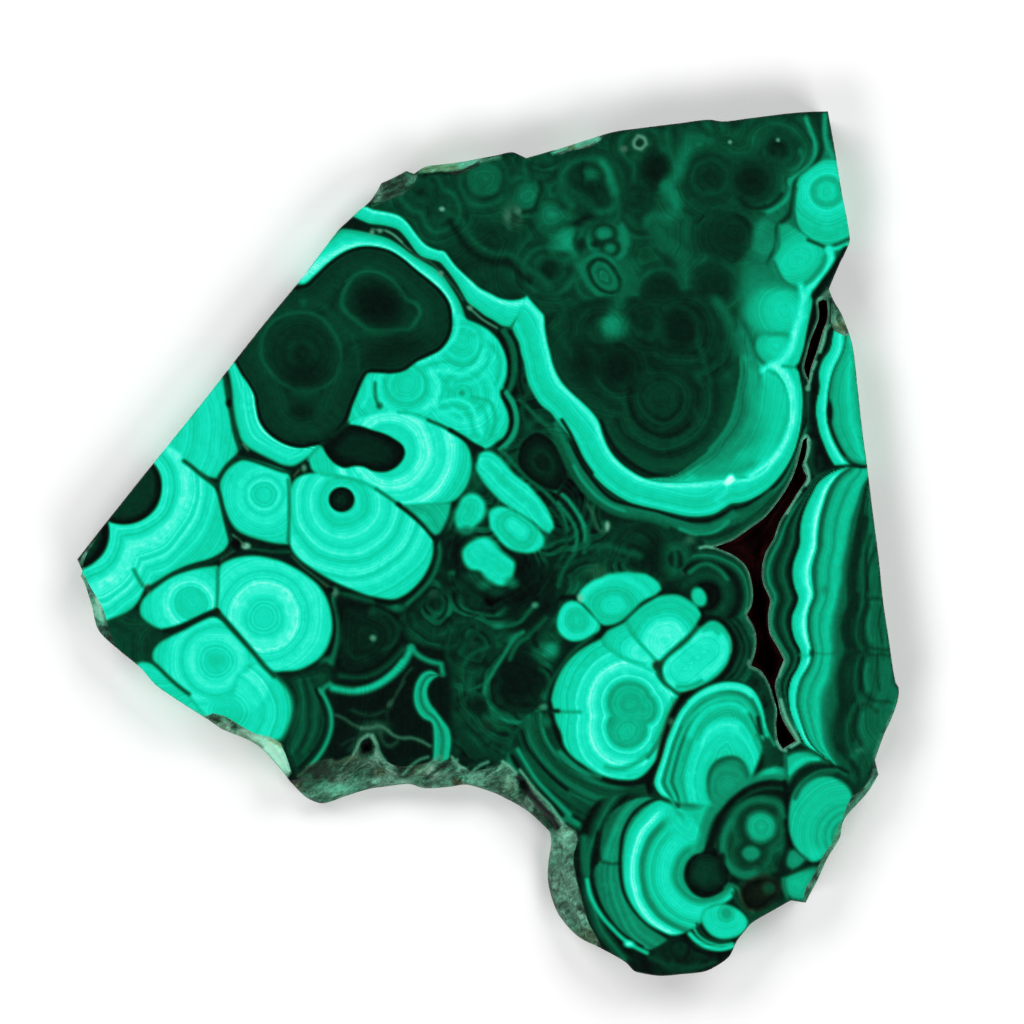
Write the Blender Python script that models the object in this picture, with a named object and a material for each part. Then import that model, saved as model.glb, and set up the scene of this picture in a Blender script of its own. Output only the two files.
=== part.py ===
"""Polished malachite slab: one flat piece of banded stone with a rough rind and a deep narrow hollow.

The slab lies on its sawn back with the polished face up. The origin is at the middle of the
underside. X runs across the slab, Y along its longest extent and Z through its thickness.
"""
import math

import bmesh
import bpy
import numpy as np
from mathutils import Vector
from mathutils.geometry import delaunay_2d_cdt

# Driving dimensions, in metres.
SLAB_LENGTH = 0.1211
SLAB_THICKNESS = 0.0080
HOLLOW_DEPTH = 0.0064
HOLLOW_WALL_SHARE = 0.40
HOLLOW_BOWL_REACH = 0.0016
RIM_CHAMFER = 0.00020
RIND_STEEPNESS = 1.15
RIND_LARGEST_DROP = 0.0050
RIND_LUMP_HEIGHT = 0.00045
WALL_WAVE = 0.00030
SAWN_WAVE = 0.00003
BASE_INSET = 0.00035
BASE_BEVEL = 0.00030
BASE_BEVEL_HEIGHT = 0.00035

# Spacing of the points along the outlines, in metres.
RIM_STEP = 0.00125
HOLLOW_STEP = 0.00110
FACE_GRID_STEP = 0.0065
RIND_LEVELS = (0.0, 0.22, 0.48, 0.74, 1.0)

# An outline turns a sharp corner where it bends by more than this angle.
SHARP_TURN = math.radians(33.0)

# Outline points are written in picture units, with v counted downwards.
# The slab reaches from PICTURE_TOP to PICTURE_BOTTOM, which is SLAB_LENGTH.
PICTURE_TOP = 111.3
PICTURE_BOTTOM = 976.05
PICTURE_MIDDLE_U = 487.8
PICTURE_MIDDLE_V = 0.5 * (PICTURE_TOP + PICTURE_BOTTOM)
UNIT = SLAB_LENGTH / (PICTURE_BOTTOM - PICTURE_TOP)

# Outer outline seen from above, clockwise from the upper end of the sawn diagonal edge.
RIM = [
    (350, 219), (360, 209.5), (366, 205), (371, 200), (373, 197), (377, 190), (381, 182), (390, 178),
    (406, 170), (414, 173.5), (419, 170), (426, 166), (440, 164), (462, 161), (480, 158), (497, 155),
    (512, 152), (520, 155), (526, 158), (540, 154), (562, 147.5), (590, 138.5), (615, 131.5), (640, 128),
    (680, 123), (709, 119.5), (723, 121.3), (750, 118), (791, 113), (810, 111.6), (828, 111.3),
    (835, 150), (841.5, 190), (850, 239), (846, 251), (841, 261), (836, 272), (829, 289), (833, 299),
    (843, 315), (849, 332), (853.5, 350), (858, 390), (863, 435), (866.5, 460), (872, 505), (879, 560),
    (883.5, 603), (889, 640), (893, 668), (896, 683), (898.5, 687), (899, 692), (898, 700), (892, 718),
    (884, 735), (875, 760), (879, 775), (870, 790), (862, 800), (844, 820), (840, 838), (828, 858),
    (818, 880), (806, 903), (791, 900.5), (775, 909.5), (752, 923), (745, 931), (737, 941), (733, 950),
    (729, 957), (720, 964), (705, 971.5), (680, 974.5), (660, 976), (640, 973), (634, 971), (625, 962),
    (600, 948), (580, 939), (565, 925), (556, 911), (549, 888), (548, 870), (551.5, 843), (550, 833),
    (543, 826), (527, 812), (500, 797), (480, 789), (466, 785.5), (450, 788), (424, 789.5), (409, 785),
    (385, 788), (370, 790), (345, 797.5), (327, 804), (318, 804.5), (304, 798), (295, 788), (284, 774),
    (273, 762), (260, 748.5), (248, 740.5), (228, 732.5), (220, 729), (205, 718), (180, 702), (155, 684.5),
    (141, 668.5), (120, 651), (97.5, 630), (91, 605), (84, 583), (80, 576), (82.5, 571), (76.5, 559.5),
    (100, 530), (139, 481), (203, 401.5), (259, 330), (301, 279), (338, 230.5),
]

# The two ends of the straight sawn edge, which has no waves.
SAWN_EDGE = ((76.5, 559.5), (338, 230.5))

# Edge of the polished face, wherever rough rind slopes from it down to the outer outline.
# Each stretch runs clockwise and begins and ends close to the outer outline.
RIND_STRETCHES = [
    [(372, 203), (388, 200), (404, 193), (413, 186), (418, 174)],
    [(420, 172), (430, 174), (440, 172), (455, 174.5), (465, 172), (475, 167), (482, 162), (497, 157.5)],
    [(553, 152.5), (560, 155), (567, 152), (590, 147), (598, 142), (607, 135)],
    [(830.5, 294), (831, 300), (831, 312), (830.5, 322), (834, 331), (842, 335), (848, 336)],
    [(896.5, 696), (895, 703), (889, 717), (882, 732)],
    [(873, 765), (872, 771), (869, 779), (862, 789), (850, 799), (843, 818)],
    [(841, 823), (838, 832), (833, 842), (826, 851), (820, 862), (813, 876), (805, 890), (804, 901)],
    [(601, 945), (593, 930), (588, 920), (580, 890), (576, 873), (574, 855), (579, 840), (577, 831),
     (561, 820), (548, 806), (535, 790), (527, 780), (517, 774), (509, 765), (503, 763), (488, 768),
     (470, 771), (455, 760), (432, 761), (414, 765), (398, 766), (383, 759), (378, 746), (369, 736),
     (361, 739), (356, 752), (345, 761), (325, 759), (308, 767), (297, 779)],
    [(292, 773), (287, 757), (281, 743), (270, 737), (254, 733), (240, 725), (225, 716), (213, 713)],
    [(115, 643), (110, 633), (106, 617), (101, 604), (91, 588), (84, 574)],
    [(83, 566), (86, 556), (97, 538)],
]

# Hollows sunk into the rind: middle (u, v), half widths across and along, depth in metres.
RIND_PITS = [
    ((366, 746), (7.0, 10.0), 0.0024),
    ((524, 787), (5.0, 12.0), 0.0026),
    ((553, 824), (8.0, 7.0), 0.0012),
    ((381, 776), (8.0, 7.0), 0.0007),
]

# The main hollow and the slit above it, seen from above, clockwise from the top.
MAIN_HOLLOW = [
    (807, 437), (807, 448), (805, 458), (802, 465), (804, 471), (807, 476), (805, 482), (797, 494),
    (789, 507), (780, 521), (774, 538), (766, 552), (762, 568), (763, 583), (770, 600), (768, 615),
    (770, 634), (778, 648), (784, 660), (779, 672), (775, 686), (778, 701), (781, 715), (788, 729),
    (796, 741), (783, 749), (778, 741), (776, 725), (777, 711), (773, 696), (769, 684), (761, 671),
    (751, 665.5), (756, 648), (755, 630), (747, 615), (752, 604), (752.5, 588), (747, 568), (736, 557),
    (722, 550), (714, 547), (733, 540), (749, 529), (764, 518), (776, 504), (787, 488), (795, 471),
    (800, 453), (803, 440),
]
SLIT = [
    (818, 302), (823, 299.5), (827, 300.5), (828, 310), (827, 321), (823, 331), (819, 345), (815, 357),
    (811, 368), (809, 380), (806, 375), (804, 367), (807, 354), (810, 342), (815, 329), (819, 317),
]


def clear_objects():
    """Start from an empty file."""
    for item in list(bpy.data.objects):
        bpy.data.objects.remove(item, do_unlink=True)


def to_metres(points):
    """Turn picture units into metres about the middle of the slab."""
    points = np.asarray(points, dtype=float)
    x = (points[:, 0] - PICTURE_MIDDLE_U) * UNIT
    y = (PICTURE_MIDDLE_V - points[:, 1]) * UNIT
    return np.column_stack([x, y])


def turn_angles(points, closed):
    """Angle by which the line through the points bends at each of them."""
    before = points - np.roll(points, 1, axis=0)
    after = np.roll(points, -1, axis=0) - points
    cross = before[:, 0] * after[:, 1] - before[:, 1] * after[:, 0]
    dot = np.sum(before * after, axis=1)
    angles = np.abs(np.arctan2(cross, dot))
    if not closed:
        angles[0] = math.pi
        angles[-1] = math.pi
    return angles


def smooth_line(points, step, closed=True):
    """Curve through the points, rounded except at sharp turns, sampled about every step."""
    count = len(points)
    sharp = turn_angles(points, closed) > SHARP_TURN
    pieces = []
    last = count if closed else count - 1
    for i in range(last):
        start = points[i]
        end = points[(i + 1) % count]
        span = end - start
        length = float(np.hypot(span[0], span[1]))
        start_slope = span
        end_slope = span
        if not sharp[i]:
            before = points[i - 1]
            reach = length + float(np.hypot(*(start - before)))
            start_slope = (end - before) * length / reach
        if not sharp[(i + 1) % count]:
            after = points[(i + 2) % count]
            reach = length + float(np.hypot(*(after - end)))
            end_slope = (after - start) * length / reach
        parts = max(1, int(round(length / step)))
        t = (np.arange(parts) / parts)[:, None]
        curve = (2 * t**3 - 3 * t**2 + 1) * start + (t**3 - 2 * t**2 + t) * start_slope
        curve = curve + (3 * t**2 - 2 * t**3) * end + (t**3 - t**2) * end_slope
        pieces.append(curve)
    if not closed:
        pieces.append(points[-1:])
    return np.vstack(pieces)


def inward_normals(loop):
    """Unit vectors that point to the inside of a loop that runs clockwise."""
    along = np.roll(loop, -1, axis=0) - np.roll(loop, 1, axis=0)
    along = along / np.maximum(np.hypot(along[:, 0], along[:, 1]), 1e-9)[:, None]
    return np.column_stack([along[:, 1], -along[:, 0]])


def share_along(points):
    """Running length along the points, as a share from 0 to 1."""
    steps = np.hypot(*np.diff(points, axis=0).T)
    run = np.concatenate([[0.0], np.cumsum(steps)])
    return run / run[-1]


def lumps(x, y):
    """Uneven surface between about -1 and 1, with bumps a few millimetres apart."""
    x = x * 1000.0
    y = y * 1000.0
    value = 0.50 * np.sin(1.05 * x + 0.62 * y + 0.4) * np.cos(0.48 * x - 1.31 * y + 1.7)
    value = value + 0.32 * np.sin(2.30 * x - 1.55 * y + 2.2) * np.cos(1.45 * x + 2.10 * y)
    value = value + 0.18 * np.sin(4.1 * x + 3.3 * y + 0.9)
    return value


def polished_edge(rim):
    """Edge of the polished face beside every rim point."""
    edge = rim + inward_normals(rim) * RIM_CHAMFER
    for stretch in RIND_STRETCHES:
        line = smooth_line(to_metres(stretch), RIM_STEP, closed=False)
        first = int(np.argmin(np.hypot(*(rim - line[0]).T)))
        last = int(np.argmin(np.hypot(*(rim - line[-1]).T)))
        count = (last - first) % len(rim) + 1
        chosen = (first + np.arange(count)) % len(rim)
        rim_share = share_along(rim[chosen])
        line_share = share_along(line)
        edge[chosen, 0] = np.interp(rim_share, line_share, line[:, 0])
        edge[chosen, 1] = np.interp(rim_share, line_share, line[:, 1])
    return edge


def away_from_sawn_edge(loop):
    """0 on the straight sawn edge and 1 elsewhere."""
    ends = to_metres(SAWN_EDGE)
    along = ends[1] - ends[0]
    length = float(np.hypot(*along))
    along = along / length
    offset = loop - ends[0]
    across = np.abs(offset[:, 0] * along[1] - offset[:, 1] * along[0])
    travel = offset @ along
    beside = (travel > -RIM_STEP) & (travel < length + RIM_STEP)
    return np.where(beside, np.clip(across / 0.0006 - 0.3, 0.0, 1.0), 1.0)


def rind_height(x, y, share, drop):
    """Height of the rind at a share of the way from the polished edge to the rim."""
    shelf = 0.10 * np.sin(4.0 * math.pi * share)
    height = SLAB_THICKNESS - drop * (share + shelf)
    free = np.sin(math.pi * np.clip(share, 0.0, 1.0)) ** 0.7
    rough = np.clip(drop / 0.003, 0.0, 1.0)
    height = height + RIND_LUMP_HEIGHT * lumps(x, y) * free * rough
    for middle, half_widths, depth in RIND_PITS:
        centre = to_metres([middle])[0]
        across = (x - centre[0]) / (half_widths[0] * UNIT)
        along = (y - centre[1]) / (half_widths[1] * UNIT)
        height = height - depth * np.exp(-1.6 * (across**2 + along**2)) * np.clip(2.0 * free, 0.0, 1.0)
    return np.minimum(height, SLAB_THICKNESS - 0.02 * drop)


def outer_rings():
    """Rings of points from the polished edge, over the rim and down to the underside."""
    rim = smooth_line(to_metres(RIM), RIM_STEP)
    edge = polished_edge(rim)
    width = np.hypot(*(rim - edge).T)
    drop = np.minimum(RIND_STEEPNESS * width + 0.00008, RIND_LARGEST_DROP)
    rings = []
    for share in RIND_LEVELS:
        flat = edge + (rim - edge) * share
        level = np.full(len(rim), share)
        height = rind_height(flat[:, 0], flat[:, 1], level, drop)
        if share == 0.0:
            height = np.full(len(rim), SLAB_THICKNESS)
        rings.append(np.column_stack([flat, height]))
    rim_height = rings[-1][:, 2]
    inward = inward_normals(rim)
    waves = SAWN_WAVE + (WALL_WAVE - SAWN_WAVE) * away_from_sawn_edge(rim)
    wall = 0.5 + 0.5 * lumps(rim[:, 0] + 0.004, rim[:, 1] * 1.3)
    base_inset = BASE_INSET + waves * wall
    middle = rim + inward * (0.35 * base_inset + waves * (1.0 - wall) * 0.5)[:, None]
    low = rim + inward * base_inset[:, None]
    foot = rim + inward * (base_inset + BASE_BEVEL)[:, None]
    rings.append(np.column_stack([middle, 0.55 * rim_height]))
    rings.append(np.column_stack([low, np.full(len(rim), BASE_BEVEL_HEIGHT)]))
    rings.append(np.column_stack([foot, np.zeros(len(rim))]))
    return rings


def inside(points, loop):
    """True for each point that lies inside the closed loop."""
    x = points[:, 0]
    y = points[:, 1]
    result = np.zeros(len(points), dtype=bool)
    for i in range(len(loop)):
        x0, y0 = loop[i - 1]
        x1, y1 = loop[i]
        crosses = (y0 > y) != (y1 > y)
        if y1 != y0:
            result ^= crosses & (x < (x1 - x0) * (y - y0) / (y1 - y0) + x0)
    return result


def distance_to(points, loop):
    """Distance of each point from the closed loop."""
    best = np.full(len(points), 1.0)
    for i in range(len(loop)):
        start = loop[i - 1]
        span = loop[i] - start
        size = max(float(span @ span), 1e-18)
        t = np.clip(((points - start) @ span) / size, 0.0, 1.0)
        nearest = start + t[:, None] * span
        best = np.minimum(best, np.hypot(*(points - nearest).T))
    return best


def grid_inside(outer, holes, step, clearance):
    """Grid points inside the outer loop that keep clear of every loop."""
    low = outer.min(axis=0)
    high = outer.max(axis=0)
    xs = np.arange(low[0], high[0], step)
    ys = np.arange(low[1], high[1], step)
    grid_x, grid_y = np.meshgrid(xs, ys)
    grid_x[1::2] += 0.5 * step
    points = np.column_stack([grid_x.ravel(), grid_y.ravel()])
    keep = inside(points, outer) & (distance_to(points, outer) > clearance)
    for hole in holes:
        keep &= ~inside(points, hole) & (distance_to(points, hole) > clearance)
    return points[keep]


def fill(outer, holes, extra):
    """Triangles that fill the outer loop around the holes, using the extra points."""
    points = [outer] + list(holes)
    edges = []
    start = 0
    for loop in points:
        count = len(loop)
        edges.extend((start + i, start + (i + 1) % count) for i in range(count))
        start += count
    every = np.vstack(points + [extra])
    vectors = [Vector((float(p[0]) * 1000.0, float(p[1]) * 1000.0)) for p in every]
    flat, _, faces, _, _, _ = delaunay_2d_cdt(vectors, edges, [], 0, 1e-6, False)
    flat = np.array([[p[0], p[1]] for p in flat]) / 1000.0
    faces = np.array([list(face) for face in faces])
    middles = flat[faces].mean(axis=1)
    keep = inside(middles, outer)
    for hole in holes:
        keep &= ~inside(middles, hole)
    return flat, faces[keep]


def add_surface(mesh, points, faces, face_up):
    """Add triangles to the mesh, facing up or down."""
    verts = [mesh.verts.new(tuple(map(float, p))) for p in points]
    for face in faces:
        corners = points[face]
        side_a = corners[1] - corners[0]
        side_b = corners[2] - corners[0]
        upward = side_a[0] * side_b[1] - side_a[1] * side_b[0] > 0.0
        order = face if upward == face_up else face[::-1]
        mesh.faces.new([verts[int(i)] for i in order])


def add_band(mesh, upper, lower):
    """Join two rings of equal count with triangles; the rings run clockwise from above."""
    count = len(upper)
    top = [mesh.verts.new(tuple(map(float, p))) for p in upper]
    bottom = [mesh.verts.new(tuple(map(float, p))) for p in lower]
    for i in range(count):
        j = (i + 1) % count
        mesh.faces.new([top[i], top[j], bottom[j]])
        mesh.faces.new([top[i], bottom[j], bottom[i]])


def add_hollow(mesh, mouth):
    """Sink a blind hollow with steep walls and a bowl-shaped floor below its mouth."""
    wall_bottom = SLAB_THICKNESS - HOLLOW_DEPTH * HOLLOW_WALL_SHARE
    upper = np.column_stack([mouth, np.full(len(mouth), SLAB_THICKNESS)])
    lower = np.column_stack([mouth, np.full(len(mouth), wall_bottom)])
    add_band(mesh, upper[::-1], lower[::-1])
    extra = grid_inside(mouth, [], 1.1 * HOLLOW_STEP, 0.45 * HOLLOW_STEP)
    flat, faces = fill(mouth, [], extra)
    reach = np.clip(distance_to(flat, mouth) / HOLLOW_BOWL_REACH, 0.0, 1.0)
    sink = HOLLOW_DEPTH * (1.0 - HOLLOW_WALL_SHARE) * np.sin(0.5 * math.pi * reach)
    floor = np.column_stack([flat, wall_bottom - sink])
    add_surface(mesh, floor, faces, face_up=True)


def stone_material():
    """Polished green stone."""
    material = bpy.data.materials.new("malachite")
    material.use_nodes = True
    shader = material.node_tree.nodes["Principled BSDF"]
    shader.inputs["Base Color"].default_value = (0.004, 0.150, 0.085, 1.0)
    shader.inputs["Roughness"].default_value = 0.18
    return material


def build_slab():
    """The whole slab as one closed body."""
    rings = outer_rings()
    hollows = [smooth_line(to_metres(loop), HOLLOW_STEP) for loop in (MAIN_HOLLOW, SLIT)]
    mesh = bmesh.new()

    face_loop = rings[0][:, :2]
    extra = grid_inside(face_loop, hollows, FACE_GRID_STEP, 0.35 * FACE_GRID_STEP)
    flat, faces = fill(face_loop, hollows, extra)
    top = np.column_stack([flat, np.full(len(flat), SLAB_THICKNESS)])
    add_surface(mesh, top, faces, face_up=True)

    foot_loop = rings[-1][:, :2]
    extra = grid_inside(foot_loop, [], FACE_GRID_STEP, 0.35 * FACE_GRID_STEP)
    flat, faces = fill(foot_loop, [], extra)
    underside = np.column_stack([flat, np.zeros(len(flat))])
    add_surface(mesh, underside, faces, face_up=False)

    for upper, lower in zip(rings[:-1], rings[1:]):
        add_band(mesh, upper, lower)
    for mouth in hollows:
        add_hollow(mesh, mouth)

    bmesh.ops.remove_doubles(mesh, verts=mesh.verts, dist=2e-6)
    data = bpy.data.meshes.new("slab")
    mesh.to_mesh(data)
    mesh.free()
    data.materials.append(stone_material())
    slab = bpy.data.objects.new("slab", data)
    bpy.context.scene.collection.objects.link(slab)


def main():
    clear_objects()
    build_slab()


main()
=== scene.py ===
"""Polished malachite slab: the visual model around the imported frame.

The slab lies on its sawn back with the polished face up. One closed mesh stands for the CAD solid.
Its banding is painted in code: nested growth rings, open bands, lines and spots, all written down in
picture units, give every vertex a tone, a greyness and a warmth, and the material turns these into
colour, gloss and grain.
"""

import math
import re

import bpy
import numpy as np
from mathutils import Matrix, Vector
from mathutils.geometry import delaunay_2d_cdt


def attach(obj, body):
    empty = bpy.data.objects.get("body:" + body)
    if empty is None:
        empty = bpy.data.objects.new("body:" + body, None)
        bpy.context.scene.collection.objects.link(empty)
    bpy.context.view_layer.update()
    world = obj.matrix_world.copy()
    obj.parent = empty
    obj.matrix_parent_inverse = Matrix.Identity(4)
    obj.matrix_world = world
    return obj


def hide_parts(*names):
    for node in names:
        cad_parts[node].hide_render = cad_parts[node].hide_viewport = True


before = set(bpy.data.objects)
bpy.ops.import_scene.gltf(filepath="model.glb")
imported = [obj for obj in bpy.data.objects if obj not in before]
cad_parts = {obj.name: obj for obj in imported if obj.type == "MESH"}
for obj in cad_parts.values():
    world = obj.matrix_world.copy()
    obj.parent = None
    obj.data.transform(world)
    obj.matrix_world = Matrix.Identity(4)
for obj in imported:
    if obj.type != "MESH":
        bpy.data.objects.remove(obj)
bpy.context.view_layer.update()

# Dimensions of the slab in metres, the same as in the CAD.
SLAB_LENGTH = 0.1211
SLAB_THICKNESS = 0.0080
HOLLOW_DEPTH = 0.0064
HOLLOW_WALL_SHARE = 0.40
HOLLOW_BOWL_REACH = 0.0016
RIM_CHAMFER = 0.00020
RIND_STEEPNESS = 1.15
RIND_LEAST_DROP = 0.00008
RIND_LARGEST_DROP = 0.0050
RIND_LUMP_HEIGHT = 0.00045
RIND_GRAIN_HEIGHT = 0.00016
WALL_WAVE = 0.00030
SAWN_WAVE = 0.00003
BASE_INSET = 0.00035
BASE_BEVEL = 0.00030
BASE_BEVEL_HEIGHT = 0.00035
LIP_WIDTH = 0.00015
LIP_DROP = 0.00012
HOLLOW_ROUGHNESS = 0.00025
HOLLOW_FLOOR_ROUGHNESS = 0.0004
SKIN_START = 0.00035

# Spacing of mesh points, in metres along outlines and in picture units on the polished face.
RIM_STEP = 0.00042
HOLLOW_STEP = 0.00034
BACK_GRID_STEP = 0.0022
FACE_STEP = 1.45
FACE_MARGIN = 4
FACE_POINTS = 75000
EDGE_CLEARANCE = 0.45
RIND_LEVELS = (0.0, 0.06, 0.14, 0.23, 0.33, 0.43, 0.53, 0.63, 0.73, 0.82, 0.90, 0.96, 1.0)
WALL_LEVELS = (0.90, 0.72, 0.55, 0.38, 0.20)
WALL_WAIST = 0.55
HOLLOW_LEVELS = (0.25, 0.5, 0.75)
CORNER_SOFTENING = 6

# Outlines turn a sharp corner where they bend by more than these angles.
SHARP_TURN = math.radians(33.0)
SHARP_BAND_TURN = math.radians(62.0)

# Picture units run from PICTURE_TOP to PICTURE_BOTTOM over the slab's length, with v downwards.
PICTURE_TOP = 111.3
PICTURE_BOTTOM = 976.05
PICTURE_MIDDLE_U = 487.8
PICTURE_MIDDLE_V = 0.5 * (PICTURE_TOP + PICTURE_BOTTOM)
PICTURE_WIDTH = 1024
UNIT = SLAB_LENGTH / (PICTURE_BOTTOM - PICTURE_TOP)

# Tone that the pattern starts from.
BASE_TONE = 26
# Spacing of points along the rounded lines of the pattern, in picture units.
BAND_STEP = 3.0
# Longest line, in points, that counts as separate spots inside a cell.
MOST_SPOTS = 8
# Length that stands in for none where a number is divided.
TINY = 1e-6

# Outer outline seen from above, clockwise from the upper end of the sawn diagonal edge.
RIM = [
    (350, 219), (360, 209.5), (366, 205), (371, 200), (373, 197), (377, 190), (381, 182), (390, 178),
    (406, 170), (414, 173.5), (419, 170), (426, 166), (440, 164), (462, 161), (480, 158), (497, 155),
    (512, 152), (520, 155), (526, 158), (540, 154), (562, 147.5), (590, 138.5), (615, 131.5), (640, 128),
    (680, 123), (709, 119.5), (723, 121.3), (750, 118), (791, 113), (810, 111.6), (828, 111.3),
    (835, 150), (841.5, 190), (850, 239), (846, 251), (841, 261), (836, 272), (829, 289), (833, 299),
    (843, 315), (849, 332), (853.5, 350), (858, 390), (863, 435), (866.5, 460), (872, 505), (879, 560),
    (883.5, 603), (889, 640), (893, 668), (896, 683), (898.5, 687), (899, 692), (898, 700), (892, 718),
    (884, 735), (875, 760), (879, 775), (870, 790), (862, 800), (844, 820), (840, 838), (828, 858),
    (818, 880), (806, 903), (791, 900.5), (775, 909.5), (752, 923), (745, 931), (737, 941), (733, 950),
    (729, 957), (720, 964), (705, 971.5), (680, 974.5), (660, 976), (640, 973), (634, 971), (625, 962),
    (600, 948), (580, 939), (565, 925), (556, 911), (549, 888), (548, 870), (551.5, 843), (550, 833),
    (543, 826), (527, 812), (500, 797), (480, 789), (466, 785.5), (450, 788), (424, 789.5), (409, 785),
    (385, 788), (370, 790), (345, 797.5), (327, 804), (318, 804.5), (304, 798), (295, 788), (284, 774),
    (273, 762), (260, 748.5), (248, 740.5), (228, 732.5), (220, 729), (205, 718), (180, 702), (155, 684.5),
    (141, 668.5), (120, 651), (97.5, 630), (91, 605), (84, 583), (80, 576), (82.5, 571), (76.5, 559.5),
    (100, 530), (139, 481), (203, 401.5), (259, 330), (301, 279), (338, 230.5),
]

# The two ends of the straight sawn edge, which has no waves.
SAWN_EDGE = ((76.5, 559.5), (338, 230.5))

# Edge of the polished face, wherever rough rind slopes from it down to the outer outline.
# Each stretch runs clockwise and begins and ends close to the outer outline.
RIND_STRETCHES = [
    [(372, 203), (388, 200), (404, 193), (413, 186), (418, 174)],
    [(420, 172), (430, 174), (440, 172), (455, 174.5), (465, 172), (475, 167), (482, 162), (497, 157.5)],
    [(553, 152.5), (560, 155), (567, 152), (590, 147), (598, 142), (607, 135)],
    [(830.5, 294), (831, 300), (831, 312), (830.5, 322), (834, 331), (842, 335), (848, 336)],
    [(896.5, 696), (895, 703), (889, 717), (882, 732)],
    [(873, 765), (872, 771), (869, 779), (862, 789), (850, 799), (843, 818)],
    [(841, 823), (838, 832), (833, 842), (826, 851), (820, 862), (813, 876), (805, 890), (804, 901)],
    [(601, 945), (593, 930), (588, 920), (580, 890), (576, 873), (574, 855), (579, 840), (577, 831),
     (561, 820), (548, 806), (535, 790), (527, 780), (517, 774), (509, 765), (503, 763), (488, 768),
     (470, 771), (455, 760), (432, 761), (414, 765), (398, 766), (383, 759), (378, 746), (369, 736),
     (361, 739), (356, 752), (345, 761), (325, 759), (308, 767), (297, 779)],
    [(292, 773), (287, 757), (281, 743), (270, 737), (254, 733), (240, 725), (225, 716), (213, 713)],
    [(115, 643), (110, 633), (106, 617), (101, 604), (91, 588), (84, 574)],
    [(83, 566), (86, 556), (97, 538)],
]

# Hollows sunk into the rind: middle (u, v), half widths across and along, depth in metres.
RIND_PITS = [
    ((366, 746), (7.0, 10.0), 0.0024),
    ((524, 787), (5.0, 12.0), 0.0026),
    ((553, 824), (8.0, 7.0), 0.0012),
    ((381, 776), (8.0, 7.0), 0.0007),
]

# The main hollow and the slit above it, seen from above, clockwise from the top.
MAIN_HOLLOW = [
    (807, 437), (807, 448), (805, 458), (802, 465), (804, 471), (807, 476), (805, 482), (797, 494),
    (789, 507), (780, 521), (774, 538), (766, 552), (762, 568), (763, 583), (770, 600), (768, 615),
    (770, 634), (778, 648), (784, 660), (779, 672), (775, 686), (778, 701), (781, 715), (788, 729),
    (796, 741), (783, 749), (778, 741), (776, 725), (777, 711), (773, 696), (769, 684), (761, 671),
    (751, 665.5), (756, 648), (755, 630), (747, 615), (752, 604), (752.5, 588), (747, 568), (736, 557),
    (722, 550), (714, 547), (733, 540), (749, 529), (764, 518), (776, 504), (787, 488), (795, 471),
    (800, 453), (803, 440),
]
SLIT = [
    (818, 302), (823, 299.5), (827, 300.5), (828, 310), (827, 321), (823, 331), (819, 345), (815, 357),
    (811, 368), (809, 380), (806, 375), (804, 367), (807, 354), (810, 342), (815, 329), (819, 317),
]


# Sizes of the noise tables, and where the noise begins in them.
NOISE_CELLS = 64
LINE_NOISE_CELLS = 256
NOISE_START = (17.3, 9.1)
MILLIMETRES = 1000.0
# Points closer than this, in metres, count as one.
SAME_PLACE = 1e-9
# Layers of noise, as strength, size and seed: sizes in metres for relief and picture units for colour.
RIND_GRAIN = ((0.6, 0.0011, 3), (0.4, 0.0005, 4))
CRUST_GRAIN = ((1.0, 0.0012, 8), (0.5, 0.0005, 9))
STONE_MOTTLE = ((9.0, 26, 1), (5.0, 11, 2))
SKIN_MOTTLE = ((1.0, 9, 41), (0.7, 4, 42), (0.5, 2.2, 43))
# Two low shelves on the way down the rind, as a share of the drop, and how fast its relief sets in.
RIND_SHELF = 0.10
RIND_FULLNESS = 0.7
# Drops of the rind, in metres, from which its lumps and its grain have their full height.
FULL_LUMPS_DROP = 0.003
FULL_GRAIN_DROP = 0.0012
PIT_SHARPNESS = 1.6
LEAST_SINK = 0.02
# Side walls: shift and stretch of their lumps against the rind's, their bulge and their fine ripples.
WALL_LUMP_SHIFT = 0.004
WALL_LUMP_STRETCH = 1.3
WALL_BULGE = 0.35
RIPPLE_SHARE = 0.35
RIPPLE_SIZE = 0.0009
RIPPLE_SHIFT = 0.011
RIPPLE_SEED = 5
# Reach of the straight sawn edge's smoothness, in metres.
SAWN_REACH = 0.0006
# Ranks of the face's points: the widest grid is always kept, and flat places are left out.
ALWAYS = 1e9
LEAST_BEND = 0.25
BEND_AT_EDGE = 3.0
# Strides of the two finer grids, and how far ahead of its bend each ranks.
FACE_STRIDES = ((2, 0.6), (1, 0.0))


def to_metres(points):
    """Turn picture units into metres about the middle of the slab."""
    points = np.asarray(points, dtype=float)
    x = (points[:, 0] - PICTURE_MIDDLE_U) * UNIT
    y = (PICTURE_MIDDLE_V - points[:, 1]) * UNIT
    return np.column_stack([x, y])


def to_picture(points):
    """Turn metres into picture units."""
    u = points[:, 0] / UNIT + PICTURE_MIDDLE_U
    v = PICTURE_MIDDLE_V - points[:, 1] / UNIT
    return np.column_stack([u, v])


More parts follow.
